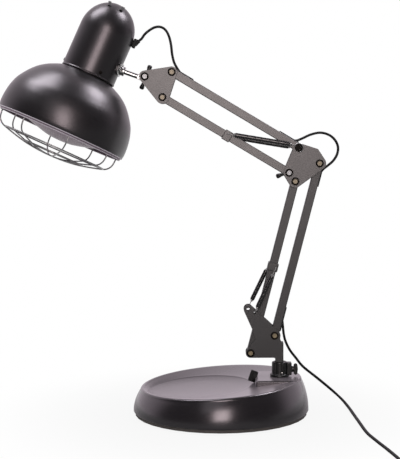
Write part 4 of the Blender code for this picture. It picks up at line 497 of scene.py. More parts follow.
def prism_into(bm, outline, y_low, y_high, edge, segments=2):
    """Outline of (x, z) points in the arm's plane, from y_low to y_high, with eased rims."""
    face = bm.faces.new([bm.verts.new((x, y_low, z)) for x, z in outline])
    grown = bmesh.ops.extrude_face_region(bm, geom=[face])
    moved = [item for item in grown["geom"] if isinstance(item, bmesh.types.BMVert)]
    bmesh.ops.translate(bm, vec=(0.0, y_high - y_low, 0.0), verts=moved)
    top = [item for item in grown["geom"] if isinstance(item, bmesh.types.BMFace)]
    rims = list({side for item in top + [face] for side in item.edges})
    bmesh.ops.bevel(bm, geom=rims, offset=edge, segments=segments, affect="EDGES", profile=0.5)


def belt(circles, steps=14):
    """Outline round a chain of circles (x, z, radius), counter-clockwise; radius 0 is a corner."""
    count = len(circles)
    normals = []
    for index in range(count):
        x1, z1, r1 = circles[index]
        x2, z2, r2 = circles[(index + 1) % count]
        along = math.atan2(z2 - z1, x2 - x1)
        normals.append(along - math.acos((r1 - r2) / math.hypot(x2 - x1, z2 - z1)))
    outline = []
    for index, (x, z, radius) in enumerate(circles):
        if radius == 0.0:
            outline.append((x, z))
            continue
        first = normals[index - 1]
        sweep = (normals[index] - first) % (2.0 * math.pi)
        for step in range(steps + 1):
            angle = first + sweep * step / steps
            outline.append((x + radius * math.cos(angle), z + radius * math.sin(angle)))
    return outline


def catmull(points, steps):
    """Rows of numbers on a smooth curve through the rows given."""
    rows = [Vector(point) for point in points]
    padded = [2.0 * rows[0] - rows[1]] + rows + [2.0 * rows[-1] - rows[-2]]
    dense = []
    for index in range(len(rows) - 1):
        before, start, end, after = padded[index:index + 4]
        for step in range(steps):
            t = step / steps
            dense.append(0.5 * (2.0 * start + (end - before) * t
                                + (2.0 * before - 5.0 * start + 4.0 * end - after) * t * t
                                + (3.0 * start - before - 3.0 * end + after) * t ** 3))
    dense.append(rows[-1])
    return dense


def evenly(dense, spacing):
    """The same curve with its points an even spacing apart."""
    lengths = [0.0]
    for one, two in zip(dense, dense[1:]):
        lengths.append(lengths[-1] + (two - one).length)
    count = max(2, round(lengths[-1] / spacing))
    result = [dense[0].copy()]
    place = 0
    for number in range(1, count):
        target = lengths[-1] * number / count
        while lengths[place + 1] < target:
            place += 1
        share = (target - lengths[place]) / (lengths[place + 1] - lengths[place])
        result.append(dense[place].lerp(dense[place + 1], share))
    result.append(dense[-1].copy())
    return result


def sweep_into(bm, points, section, closed=False, level=False):
    """Sweeps a section of (across, up) offsets along points, carried without twist.

    With level, the section's width turns gently to lie level, as a flat lead does on a table.
    """
    count = len(points)
    rows = []
    wide = None
    for index in range(count):
        if closed:
            along = (points[(index + 1) % count] - points[index - 1]).normalized()
        else:
            along = (points[min(index + 1, count - 1)] - points[max(index - 1, 0)]).normalized()
        if wide is None:
            wide = Y_AXIS.copy() if abs(along.y) < 0.9 else X_AXIS.copy()
        wide = (wide - along * wide.dot(along)).normalized()
        flat = Z_AXIS.cross(along)
        if level and flat.length > 0.35:
            flat = flat if flat.dot(wide) > 0.0 else -flat
            wide = wide.lerp(flat.normalized(), 0.3)
            wide = (wide - along * wide.dot(along)).normalized()
        other = along.cross(wide)
        rows.append([bm.verts.new(points[index] + wide * u + other * v) for u, v in section])
    skin(bm, rows, not closed)
    if closed:
        turns = range(len(section))
        shift = min(turns, key=lambda step: (rows[-1][0].co - rows[0][step].co).length)
        bridge(bm, rows[-1], rows[0][shift:] + rows[0][:shift])


# Cords

def cord_section(sides=16):
    """A flat twin lead: an oval with a shallow groove along the middle of each broad side."""
    points = []
    for index, (c, s) in enumerate(circle(1.0, sides)):
        groove = 0.94 if index in (sides // 4, 3 * sides // 4) else 1.0
        points.append((CORD_HALF_WIDTH * c, CORD_HALF_THICK * s * groove))
    return points


def cord_piece(name, points, bodies, nodes=(),
               parts=()):
    """A stretch of cord on one body, or one that runs between two from one of its points to another
    and rides on neither.
    """
    bm = bmesh.new()
    sweep_into(bm, points, cord_section(), level=True)
    made = object_from(bm, name, "cord", angle=60.0)
    if nodes:
        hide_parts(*nodes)
    if len(bodies) > 1:
        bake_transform(made)
    else:
        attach(made, *bodies)


def split_at(points, lengths):
    """The points in stretches of these lengths, each starting where the last one ends."""
    parts = [[points[0]]]
    wanted = list(lengths)
    run = 0.0
    for one, two in zip(points, points[1:]):
        run += (two - one).length
        parts[-1].append(two)
        if wanted and run >= wanted[0]:
            run = 0.0
            wanted.pop(0)
            parts.append([two])
    return parts


def coil_points():
    """Spare lead in two flat layers, wound in and out again, and its tail to the plug."""
    outer = COIL_INNER + COIL_PITCH * COIL_LAYER_TURNS
    total = 2.0 * COIL_LAYER_TURNS + COIL_CLIMB_TURNS
    layer_end = COIL_LAYER_TURNS + COIL_CLIMB_TURNS
    points = []
    for index in range(round(total * COIL_STEPS) + 1):
        turns = index / COIL_STEPS
        if turns <= COIL_LAYER_TURNS:
            radius, climb = outer - COIL_PITCH * turns, 0.0
        elif turns <= layer_end:
            share = (turns - COIL_LAYER_TURNS) / COIL_CLIMB_TURNS
            radius = COIL_INNER - COIL_CLIMB_DIP * math.sin(math.pi * share)
            climb = share * share * (3.0 - 2.0 * share)
        else:
            radius, climb = COIL_INNER + COIL_PITCH * (turns - layer_end), 1.0
        angle = math.pi + 2.0 * math.pi * turns
        points.append(COIL_CENTRE + Vector((radius * math.cos(angle), radius * math.sin(angle),
                                            COIL_LAYER_RISE * climb)))
    last = points[-1]
    for share in (0.25, 0.5, 0.75, 1.0):
        rise = (PLUG_HEIGHT - last.z) * share * share * (3.0 - 2.0 * share)
        points.append(last + Vector((0.0, COIL_TAIL * share, rise)))
    return points


def make_cords():
    loop = [CORD_EXIT + CORD_WAY * 0.0043]
    for number, (x, z) in enumerate(HEAD_LOOP):
        share = 1.0 - (number + 1.0) / len(HEAD_LOOP)
        loop.append(Vector((x, loop[0].y * share * share, z)))
    points = [CORD_EXIT - CORD_WAY * 0.002] + evenly(catmull(loop, 16), 0.003)
    parts = split_at(points + [A + UPPER_WAY * 0.0303], (0.042, 0.032))
    cord_piece("head_cord_swivel", parts[0], ("head", "tilt_link"), ("upper_arm_cord",))
    cord_piece("head_cord_tilt", parts[1], ("tilt_link", "head_plate"))
    cord_piece("upper_bar_cord", parts[2], ("head_plate", "upper_top_bar"))

    loop = [A + UPPER_WAY * 0.030] + [Vector((x, 0.0, z)) for x, z in ELBOW_LOOP]
    points = evenly(catmull(loop, 16), 0.003) + [F + LOWER_WAY * 0.0354]
    parts = split_at(points, (0.090,))
    cord_piece("elbow_cord_top", parts[0], ("upper_top_bar", "elbow"), ("lower_arm_cord",))
    cord_piece("elbow_cord_rear", parts[1], ("elbow", "lower_rear_bar"))

    coil = coil_points()
    route = [F + LOWER_WAY * 0.0351, *MAINS_ROUTE, coil[0] + Y_AXIS * 0.004]
    parts = split_at(evenly(catmull(route, 16), 0.004), (0.036, 0.048))
    cord_piece("tail_cord_top", parts[0], ("lower_rear_bar", "swivel_bracket"), ("tail_cord",))
    cord_piece("tail_cord_post", parts[1], ("swivel_bracket", "base"))
    cord_piece("mains_lead", parts[2] + coil, ("base",), ("mains_cord", "cord_coil"),
               parts=[make_plug(coil[-1])])


def make_plug(back):
    """A moulded two pin plug with a ribbed, tapering strain relief and a grip at each side."""
    rows = []
    for index in range(17):
        share = index / 16.0
        rib = 0.0007 if index % 2 else 0.0
        rows.append((0.0145 * share - 0.002, 0.0030 + 0.0030 * share - rib,
                     0.0026 + 0.0016 * share - rib))
    rows += [(0.0150, 0.0088, 0.0062), (0.0168, 0.0105, 0.0072), (0.0195, 0.0112, 0.0076),
             (0.0222, 0.0104, 0.0068), (0.0250, 0.0112, 0.0076), (0.0285, 0.0112, 0.0076),
             (0.0296, 0.0106, 0.0071), (0.0300, 0.0096, 0.0062)]
    bm = bmesh.new()
    skin(bm, [[bm.verts.new(back + Vector((u, along, v)))
               for u, v in squircle(wide, thick, 20, 0.625)] for along, wide, thick in rows])
    for side in (-1.0, 1.0):
        x = back.x + side * 0.00635
        box_into(bm, (x - 0.00075, back.y + 0.020, back.z - 0.0031),
                 (x + 0.00075, back.y + 0.0458, back.z + 0.0031), None, 0.0004, 1)
    return piece(object_from(bm, "mains_plug", "plastic", "brass"), "base", "dark_plastic", "plug")


# Base

def make_shell():
    """Base with its dish, as rows of (centre x, radius, height, share of the rim's slope)."""
    crest = RIM_HEIGHT - 0.003
    rows = [(0.0, BASE_RADIUS - 0.0006, BASE_GROUND, 0.0),
            (0.0, BASE_RADIUS, BASE_GROUND + 0.0008, 0.02)]
    for step in range(1, 9):
        share = step / 8.0
        rows.append((0.0, BASE_RADIUS - 0.0085 * share ** 2,
                     BASE_GROUND + (crest - BASE_GROUND) * share, share))
    top = ((0.0, 0.1012, 0.0018), (0.0, 0.1003, 0.0006), (0.0, 0.0989, 0.0), (0.0, 0.0972, 0.0001),
           (-0.0020, 0.0945, 0.0004), (-0.0060, 0.0895, 0.0012), (-0.0145, 0.0780, 0.0030),
           (-0.0225, 0.0682, 0.0045), (-0.0255, 0.0650, 0.0049), (-0.026, 0.0640, 0.0051),
           (-0.026, 0.0632, 0.0055), (-0.026, 0.0615, 0.0060), (-0.026, 0.0560, 0.0070),
           (-0.026, 0.0460, 0.0082), (-0.026, 0.0320, 0.0090), (-0.026, 0.0160, 0.0095),
           (-0.026, 0.0, 0.0096))
    rows += [(shift, radius, RIM_HEIGHT - drop, 1.0) for shift, radius, drop in top]
    inner = [(0.0, 0.0, 0.0265, 0.0), (0.0, 0.0985, 0.0265, 0.0),
             (0.0, BASE_RADIUS - 0.003, BASE_GROUND, 0.0)]
    bm = bmesh.new()
    rings = []
    for shift, radius, height, slope in inner + [rows[0]] + catmull(rows[1:-1], 3) + [rows[-1]]:
        ring = circle(radius, 144) if radius > 1e-6 else [(0.0, 0.0)]
        rings.append([bm.verts.new((shift + x, y, height + slope * RIM_SLOPE * (shift + x)))
                      for x, y in ring])
    skin(bm, rings, False)
    piece(object_from(bm, "shell", "base", angle=40.0), "base", "black_paint", "base_shell")


def make_plinth():
    half = math.asin(PLINTH_HALF_WIDTH / PLINTH_END_RADIUS)
    outline = [(PLINTH_FACE_X, -PLINTH_HALF_WIDTH)]
    for step in range(25):
        angle = -half + 2.0 * half * step / 24.0
        outline.append((PLINTH_END_RADIUS * math.cos(angle), PLINTH_END_RADIUS * math.sin(angle)))
    outline.append((PLINTH_FACE_X, PLINTH_HALF_WIDTH))
    bm = bmesh.new()
    face = bm.faces.new([bm.verts.new((x, y, PLINTH_FOOT)) for x, y in outline])
    grown = bmesh.ops.extrude_face_region(bm, geom=[face])
    moved = [item for item in grown["geom"] if isinstance(item, bmesh.types.BMVert)]
    bmesh.ops.translate(bm, vec=(0.0, 0.0, PLINTH_TOP - PLINTH_FOOT), verts=moved)
    rims = [item for item in bm.edges if all(vert.co.z > PLINTH_FOOT for vert in item.verts)]
    uprights = [item for item in bm.edges
                if abs(item.verts[0].co.z - item.verts[1].co.z) > 0.005
                and item.verts[0].co.x < PLINTH_FACE_X + 0.001]
    bmesh.ops.bevel(bm, geom=rims + uprights, offset=0.0016, segments=4, affect="EDGES",
                    profile=0.5)
    plinth = object_from(bm, "plinth", "base")
    tool = bmesh.new()
    pin(tool, 0.0079, -0.0003, 0.015, frame_at(KNOB_BACK, KNOB_AXIS), 40)
    cut(plinth, tool)
    piece(plinth, "base", "black_paint")


def make_knob():
    placed = frame_at(KNOB_BACK, KNOB_AXIS, Z_AXIS)
    bm = bmesh.new()
    turned(bm, ((0.0, 0.0), (0.0066, 0.0), (0.0071, 0.0006), (0.0072, 0.0016), (0.0070, 0.0042),
                (0.0064, 0.0050), (0.0, 0.0052)), placed, 40)
    box_into(bm, (-0.0070, -0.0030, 0.002), (0.0070, 0.0030, 0.0092), placed, 0.0012, 0, 3)
    for low, high in zip(circle(0.0069, 20), circle(0.0067, 20)):
        foot = placed @ Vector((*low, 0.0008))
        tip = placed @ Vector((*high, 0.0034))
        sweep_into(bm, [foot, foot.lerp(tip, 0.5), tip], circle(0.00032, 6))
    piece(object_from(bm, "rotary_knob", "rubber"), "switch_knob", "dark_plastic", "switch_knob")


def make_socket():
    """Split socket of the post, and the boss that its clamp screw runs in."""
    top = SOCKET_TOP - SOCKET_BASE
    bm = bmesh.new()
    turned(bm, ((0.0, -0.016), (0.0036, -0.016), (0.0036, 0.0), (0.0118, 0.0), (0.0120, 0.0004),
                (0.0120, 0.0020), (0.0115, 0.0028), (0.0102, 0.0031), (0.0098, 0.0038),
                (0.00975, top - 0.0012), (0.0093, top - 0.0003), (0.0086, top), (0.0051, top),
                (0.0050, 0.0034), (0.0, 0.0034)),
           Matrix.Translation((POST_X, 0.0, SOCKET_BASE)), 56)
    socket = object_from(bm, "socket", "plastic")
    tool = bmesh.new()
    for low, high in ((-0.0125, -0.0068), (0.0068, 0.0125)):
        box_into(tool, (POST_X + 0.0047, low, SOCKET_BASE + 0.0038),
                 (POST_X + 0.0057, high, SOCKET_TOP + 0.002))
    cut(socket, tool)
    piece(socket, "base", "dark_plastic", "post_socket")

    bm = bmesh.new()
    box_into(bm, (POST_X + 0.0085, -0.0055, SOCKET_BASE + 0.0015),
             (POST_X + 0.0150, 0.0055, SOCKET_TOP - 0.0008), None, 0.0013, 0, 3)
    for angle in (-2.2, -1.2):
        x = POST_X + 0.0097 * math.cos(angle)
        y = 0.0097 * math.sin(angle)
        box_into(bm, (x - 0.0008, y - 0.0006, SOCKET_BASE + 0.003),
                 (x + 0.0008, y + 0.0006, SOCKET_TOP - 0.001), None, 0.0004)
    seat = Vector((POST_X + 0.0028, -0.0093, SOCKET_BASE + 0.0050))
    turned(bm, ((0.0, 0.0), (0.0013, 0.0), (0.0010, 0.0007), (0.0, 0.0009)),
           frame_at(seat, -Y_AXIS), 16)
    # The small screw's faces are bright, and so is the eased foot of the rib beside it
    for face in bm.faces:
        spot = face.calc_center_median() - seat
        if (face.calc_area() < 2e-6 and abs(spot.x) < 0.0014 and spot.y < -0.0001
                and spot.z < 0.0014):
            face.material_index = 1
    piece(object_from(bm, "socket_boss", "plastic", "chrome"), "base", "dark_plastic")


def make_clamp():
    placed = frame_at((POST_X, 0.0, CLAMP_HEIGHT), X_AXIS)
    bm = bmesh.new()
    pin(bm, 0.0022, 0.0055, 0.0178, placed, 20)
    turned(bm, ((0.0, 0.0152), (0.0036, 0.0152), (0.0038, 0.0158), (0.0036, 0.0182),
                (0.0, 0.0186)), placed, 24)
    leaf = belt(((POST_X + 0.0200, CLAMP_HEIGHT - 0.0048, 0.0024),
                 (POST_X + 0.0206, CLAMP_HEIGHT, 0.0024),
                 (POST_X + 0.0200, CLAMP_HEIGHT + 0.0048, 0.0024)), 8)
    prism_into(bm, leaf, -0.0015, 0.0015, 0.0009, 3)
    piece(object_from(bm, "clamp_wing", "plastic"), "clamp_screw", "dark_plastic", "clamp_screw")


def make_pin_block():
    bm = bmesh.new()
    pin(bm, 0.0047, 0.0039, SOCKET_TOP - SOCKET_BASE + 0.001,
        Matrix.Translation((POST_X, 0.0, SOCKET_BASE)), 32)
    box_into(bm, (POST_X - 0.0047, -0.0049, SOCKET_TOP + 0.0003),
             (POST_X + 0.0047, 0.0049, SOCKET_TOP + 0.0253), None, 0.0010, 0, 3)
    piece(object_from(bm, "pin_block", "arm"), "swivel_bracket", "black_paint", "swivel_pin")


# Arm

def xz(point, radius):
    return (point.x, point.z, radius)


def make_plates():
    foot = E.z - 0.0061
    bracket = belt((
        xz(E, 0.0061), (POST_X - 0.0070, foot, 0.0), (POST_X - 0.0052, foot - 0.0018, 0.0),
        (POST_X - 0.0052, SOCKET_TOP + 0.0003, 0.0), (POST_X + 0.0035, SOCKET_TOP + 0.0003, 0.0),
        (POST_X + 0.0035, F.z - 0.0125, 0.0), (F.x + 0.0068, F.z - 0.0045, 0.0),
        xz(F, 0.0073), xz(EAR, 0.0056), (E.x + 0.0022, E.z + 0.0296, 0.0),
        (E.x + 0.0060, E.z + 0.0172, 0.0)))
    elbow = belt((xz(B, 0.0070), xz(C, 0.0080), xz(D, 0.0080), (D.x - 0.0032, D.z + 0.0160, 0.0020),
                  xz(A, 0.0058)))
    head = belt((xz(T, 0.0072), xz(L, 0.0082), xz(U, 0.0068)))
    # The elbow and head plates take the lighter copies of the arm's paint, which are painted light
    rows = (("bracket", bracket, "arm", "swivel_bracket", "arm_paint",
             ((EAR, 0.0023), (EAR_SECOND, 0.0015))),
            ("elbow", elbow, "elbow", "elbow", "upper_paint", ()),
            ("head", head, "upper", "head_plate", "upper_paint", ()))
    for stem, outline, look, body, slot, holes in rows:
        for side, label in ((-1.0, "near"), (1.0, "far")):
            low, high = sorted((side * PLATE_INNER, side * PLATE_OUTER))
            bm = bmesh.new()
            prism_into(bm, outline, low, high, 0.00035)
            plate = object_from(bm, "%s_%s_side" % (label, stem), look)
            if holes:
                tool = bmesh.new()
                for spot, radius in holes:
                    pin(tool, radius, -0.01, 0.01, frame_at(spot, Y_AXIS))
                cut(plate, tool)
            piece(plate, body, slot, "%s_%s_plate" % (label, stem))


def bar_frame(place, along):
    return Matrix.Translation(place) @ basis(along, Y_AXIS, along.cross(Y_AXIS))


def make_bar(name, start, end, slots, look, slot):
    """Square tube with round ends, and lined slots where the cord dips in or out."""
    length = (end - start).length
    placed = bar_frame(start, (end - start).normalized())
    bm = bmesh.new()
    prism_into(bm, belt((xz(start, BAR_RADIUS), xz(end, BAR_RADIUS))), -0.005, 0.005, 0.0009, 3)
    made = object_from(bm, name + "_tube", look)
    tool = bmesh.new()
    box_into(tool, (-BAR_RADIUS - 0.003, -0.0038, -0.00385),
             (length + BAR_RADIUS + 0.003, 0.0038, 0.00385), placed)
    cut(made, tool)
    for low, high in slots:
        tool = bmesh.new()
        box_into(tool, (low, -0.0028, -0.008), (high, 0.0028, -0.003), placed, 0.0005)
        cut(made, tool)
    piece(made, name, slot, name)
    if not slots:
        return
    bm = bmesh.new()
    for low, high in slots:
        for left, right in ((-0.0040, -0.0022), (0.0022, 0.0040)):
            box_into(bm, (low - 0.0016, left, -0.0062), (high + 0.0016, right, -0.0040), placed,
                     0.0005)
    piece(object_from(bm, name + "_slot_liner", "rubber"), name, "dark_plastic")


def make_collar(name, centre, along, look, body, slot):
    placed = bar_frame(centre, along)
    bm = bmesh.new()
    box_into(bm, (-0.00525, -0.0065, -0.00655), (0.00525, 0.0065, 0.00655), placed, 0.0010, 0, 3)
    for side in (-1.0, 1.0):
        turned(bm, ((0.0, 0.0), (0.0024, 0.0), (0.0024, 0.0004), (0.0018, 0.0007), (0.0, 0.0007)),
               frame_at(centre + Y_AXIS * side * 0.0064, Y_AXIS * side), 20)
    made = object_from(bm, name + "_band", look)
    tool = bmesh.new()
    box_into(tool, (-0.01, -0.0053, -0.00535), (0.01, 0.0053, 0.00535), placed)
    cut(made, tool)
    piece(made, body, slot, name)


def make_spring(label, out, top, foot, start, stop, hook_end):
    """Closed coil in a shrunk sleeve, with a wire hook at each end."""
    top = top + out * SPRING_OUT
    foot = foot + out * SPRING_OUT
    along = (foot - top).normalized()
    first = top + along * start
    last = foot - along * stop
    length = (last - first).length
    wide = along.cross(out).normalized()
    points = [top - out * 0.0030, top - out * 0.0010 - along * 0.0004, top + along * 0.0010]
    turns = round((length + 0.0060) / SPRING_PITCH)
    for index in range(turns * 10 + 1):
        angle = 2.0 * math.pi * index / 10.0
        share = index / (turns * 10.0)
        centre = (first - along * 0.003).lerp(last + along * 0.003, share)
        swell = min(1.0, 0.8 * share * turns, 0.8 * (1.0 - share) * turns)
        points.append(centre + (out * math.cos(angle) + wide * math.sin(angle))
                      * SPRING_RADIUS * swell)
    points += [foot - along * 0.0012] + hook_end
    bm = bmesh.new()
    sweep_into(bm, points, circle(0.00058, 6))
    coil = object_from(bm, label + "_coil", "spring", angle=60.0)
    rows = []
    for index in range(41):
        ripple = 0.00007 * math.sin(index * 2.4) + 0.00005 * math.sin(index * 1.1)
        rim = 0.00025 if index in (0, 40) else 0.0
        rows.append((SLEEVE_RADIUS + ripple - rim, length * index / 40))
    rows += [(SLEEVE_BORE, length), (SLEEVE_BORE, 0.0)]
    tube = lathe(label + "_tube", rows, frame_at(first, along), "sleeve", segments=24, ring=True)
    for made, slot, node in ((coil, "spring_wire", label + "_spring"),
                             (tube, "sleeve", label + "_sleeve")):
        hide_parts(node)
        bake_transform(made)


def make_springs():
    across = Y_AXIS.cross(LOWER_WAY)
    for label, side, shift, anchor, start, stop in (
            ("far_lower", 1.0, -0.0046, EAR, 0.0077, 0.0119),
            ("near_lower", -1.0, 0.0036, EAR_SECOND, 0.0116, 0.0085)):
        out = Y_AXIS * side
        make_spring(label, out, LOWER_HOLD + across * shift, anchor, start, stop,
                    [anchor + out * 0.0082, anchor + out * 0.0062])
    aim = (A - UPPER_HOLD).normalized()
    wide = aim.cross(Y_AXIS)
    for label, side, lift in (("near_upper", -1.0, 0.0026), ("far_upper", 1.0, -0.0006)):
        out = Y_AXIS * side
        hook = []
        for step in range(17):
            angle = math.radians(150 - 220 * step / 16)
            round_bolt = aim * math.cos(angle) + wide * math.sin(angle)
            hook.append(A + out * 0.0080 + round_bolt * 0.0054)
        make_spring(label, out, UPPER_HOLD + wide * lift, A - aim * 0.0056 + wide * lift, 0.0090,
                    0.0062, hook)


def make_bolt(node, spot, body, centre_look, wing=False):
    """Pan head with a cross recess on a dark washer, and a nut or a long thread behind."""
    outer = PLATE_OUTER + 0.0003
    seat = outer + 0.0006
    placed = frame_at(spot, -Y_AXIS, X_AXIS)
    bm = bmesh.new()
    turned(bm, ((0.0, seat - 0.001), (0.0029, seat - 0.001), (0.0029, seat + 0.0006),
                (0.00265, seat + 0.0012), (0.0019, seat + 0.0017), (0.0008, seat + 0.0020),
                (0.0, seat + 0.0020)), placed, 28)
    head = object_from(bm, node + "_head", centre_look)
    tool = bmesh.new()
    for turn in (0.6, 0.6 + math.pi / 2.0):
        box_into(tool, (-0.0016, -0.00032, seat + 0.0009), (0.0016, 0.00032, seat + 0.003),
                 placed @ Matrix.Rotation(turn, 4, "Z"))
    cut(head, tool)
    bm = bmesh.new()
    bm.from_mesh(head.data)
    for face in bm.faces:
        face.material_index = 1
    bpy.data.objects.remove(head, do_unlink=True)
    turned(bm, ((0.0030, outer), (0.0048, outer), (0.0050, outer + 0.00015),
                (0.0049, outer + 0.0006), (0.0042, outer + 0.0010), (0.0030, outer + 0.0012)),
           placed, 32, True)
    pin(bm, 0.0029, -outer, outer, placed, 20, 1)
    turned(bm, ((0.0030, -outer), (0.0045, -outer), (0.0045, -seat), (0.0030, -seat)),
           placed, 28, True)
    if wing:
        rows = [(0.0, -outer, 1)]
        for index in range(40):
            rows.append((0.0019 if index % 2 else 0.00165, -outer - 0.0003 * index, 1))
        turned(bm, rows + [(0.0, rows[-1][1], 1)], placed, 18)
    else:
        turned(bm, ((0.0, -outer, 1), (0.0036, -outer, 1), (0.0040, -outer - 0.0004, 1),
                    (0.0040, -outer - 0.0027, 1), (0.0036, -outer - 0.0032, 1),
                    (0.0026, -outer - 0.0032, 1), (0.0, -outer - 0.0030, 1)), placed, 48,
               hexes=(2, 3))
    piece(object_from(bm, node + "_set", "washer", centre_look), body, "brass_steel", node)


def make_wing(node, body, spot, degrees):
    placed = frame_at(spot + Y_AXIS * (PLATE_OUTER + 0.0012), Y_AXIS, way(degrees))
    bm = bmesh.new()
    turned(bm, ((0.0, 0.0112), (0.0023, 0.0112), (0.0023, 0.0), (0.0058, 0.0), (0.0062, 0.0005),
                (0.0062, 0.0044), (0.0057, 0.0070), (0.0049, 0.0110), (0.0044, 0.0130),
                (0.0036, 0.0135), (0.0, 0.0135)), placed, 36)
    for side in (-1.0, 1.0):
        rows = ((0.0030, 0.0024, 0.0034), (0.0060, 0.0022, 0.0036), (0.0095, 0.0023, 0.0036),
                (0.0120, 0.0029, 0.0035), (0.0142, 0.0031, 0.0031), (0.0155, 0.0024, 0.0022),
                (0.0160, 0.0010, 0.0009))
        skin(bm, [[bm.verts.new(placed @ Vector((side * reach, thick * c, 0.0063 + tall * s)))
                   for c, s in circle(1.0, 20)] for reach, thick, tall in rows])
    piece(object_from(bm, node + "_grip", "plastic", angle=50.0), body, "dark_plastic", node)


def make_arm():
    make_plates()
    # The upper bars take the lighter copy of the arm's paint, which is painted light
    for row in (
            ("lower_front_bar", E, C, (), "arm", "arm_paint"),
            ("lower_rear_bar", F, D,
             ((0.008, 0.036), (LOWER_LENGTH - 0.027, LOWER_LENGTH - 0.0045)), "arm", "arm_paint"),
            ("upper_top_bar", A, U,
             ((0.0046, 0.029), (UPPER_LENGTH - 0.026, UPPER_LENGTH - 0.0042)), "upper",
             "upper_paint"),
            ("upper_bottom_bar", B, L, (), "upper", "upper_paint")):
        make_bar(*row)
    make_collar("lower_spring_collar", LOWER_HOLD, LOWER_WAY, "arm", "lower_front_bar",
                "arm_paint")
    # The upper collar takes the elbow's lighter copy of the arm's paint, which is painted light
    make_collar("upper_spring_collar", UPPER_HOLD, UPPER_WAY, "elbow", "upper_bottom_bar",
                "upper_paint")
    make_springs()
    for row in (
            ("front_foot_bolt", E, "swivel_bracket", "brass"),
            ("rear_foot_bolt", F, "swivel_bracket", "brass"),
            ("elbow_top_bolt", A, "elbow", "washer"),
            ("elbow_lock_bolt", B, "elbow", "zinc", True),
            ("elbow_front_bolt", C, "elbow", "brass"),
            ("elbow_rear_bolt", D, "elbow", "brass"),
            ("head_top_bolt", U, "head_plate", "brass"),
            ("head_low_bolt", L, "head_plate", "brass"),
            ("tilt_bolt", T, "head_plate", "zinc", True)):
        make_bolt(*row)
    make_wing("elbow_wing_knob", "elbow_wing", B, -160.0)
    make_wing("head_wing_knob", "head_wing", T, 68.0)


# Head

def make_shade():
    shape = [(SHADE_NECK + (SHADE_RIM - SHADE_NECK) * radius_share, SHADE_HEIGHT * height_share,
              0.0) for height_share, radius_share in SHADE_SHARES]
    outer = [(row[0], row[1]) for row in catmull(shape, 6) if row[1] > 0.0016]
    wall = []
    for index, (radius, height) in enumerate(outer):
        before = outer[max(index - 1, 0)]
        after = outer[min(index + 1, len(outer) - 1)]
        run, rise = after[0] - before[0], after[1] - before[1]
        span = math.hypot(run, rise)
        wall.append((radius - SHADE_SHEET * rise / span, height + SHADE_SHEET * run / span, 1))
    rim = [(0.0794, 0.0030, 1), (0.0792, 0.0018, 1), (0.0796, 0.0007, 1), (0.0804, 0.0, 1),
           (0.0812, 0.0002), (0.0817, 0.0009)]
    neck_top = SHADE_HEIGHT + 0.011
    neck = [(SHADE_NECK + 0.0006, SHADE_HEIGHT), (SHADE_NECK, SHADE_HEIGHT + 0.0006),
            (SHADE_NECK, neck_top), (SHADE_NECK - SHADE_SHEET, neck_top),
            (SHADE_NECK - SHADE_SHEET, SHADE_HEIGHT - SHADE_SHEET, 1)]
    made = lathe("bell_shade", wall[::-1] + rim + outer + neck, HEAD_FRAME, "shade", "inside",
                 segments=128, ring=True)
    piece(made, "head", "black_paint", "shade")
    bm = bmesh.new()
    ring_into(bm, 0.0815, -0.0004, 0.00055, 128, 8)
    ring_into(bm, 0.0796, 0.0021, 0.00055, 128, 8)
    turned(bm, ((0.0808, 0.0006, 1), (0.0794, -0.0019, 1), (0.0786, -0.0017, 1),
                (0.0800, 0.0010, 1)), HEAD_FRAME, 128, True)
    piece(object_from(bm, "rim_beads", "inside", "rim"), "head", "black_paint")


def ring_into(bm, radius, depth, wire, count, sides):
    """A ring of wire round the head's axis, this deep below the shade's rim."""
    points = [HEAD_FRAME @ Vector((x, y, -depth)) for x, y in circle(radius, count)]
    sweep_into(bm, points, circle(wire, sides), True)


def make_housing():
    inner = HOUSING_RADIUS - HOUSING_SHEET
    inner_cap = HOUSING_CAP - HOUSING_SHEET
    rows = [(0.0, HOUSING_SHOULDER + inner_cap)]
    for step in range(1, 15):
        angle = math.pi / 2.0 * (1.0 - step / 14.0)
        rows.append((inner * math.cos(angle), HOUSING_SHOULDER + inner_cap * math.sin(angle)))
    rows += [(inner, HOUSING_BASE + 0.0004), (inner + 0.0003, HOUSING_BASE)]
    for grown, rise in ((0.0001, 0.0), (0.0005, 0.0005), (0.0005, 0.0013), (0.0001, 0.0019),
                        (-0.0002, 0.0024), (0.0, 0.0034)):
        rows.append((HOUSING_RADIUS + grown, HOUSING_BASE + rise))
    for step in range(26):
        angle = math.pi / 2.0 * step / 26.0
        rows.append((HOUSING_RADIUS * math.cos(angle),
                     HOUSING_SHOULDER + HOUSING_CAP * math.sin(angle)))
    rows.append((0.0, HOUSING_SHOULDER + HOUSING_CAP))
    made = lathe("lamp_housing", rows, HOUSING_FRAME, "shade")

    ring = HOUSING_RADIUS * math.sqrt(1.0 - VENT_RISE ** 2)
    tool = bmesh.new()
    tabs = bmesh.new()
    for degrees in (-112.5, -67.5, 67.5, 112.5):
        out = Vector((math.cos(math.radians(degrees)), math.sin(math.radians(degrees)), 0.0))
        spot = out * ring + Z_AXIS * (HOUSING_SHOULDER + HOUSING_CAP * VENT_RISE)
        normal = (out * (ring / HOUSING_RADIUS ** 2)
                  + Z_AXIS * (VENT_RISE / HOUSING_CAP)).normalized()
        pin(tool, 0.0017, -0.004, 0.004, HOUSING_FRAME @ frame_at(spot, normal))
        uphill = (Z_AXIS - normal * normal.z).normalized()
        box_into(tabs, (-0.0021, -0.0006, -0.0006), (0.0021, 0.0006, 0.0052),
                 HOUSING_FRAME @ frame_at(spot + uphill * 0.0025, normal, uphill.cross(normal)),
                 0.0005, 0, 3)
    cut(made, tool)
    piece(made, "head", "black_paint", "housing")
    piece(object_from(tabs, "vent_tabs", "pewter"), "head", "black_paint")


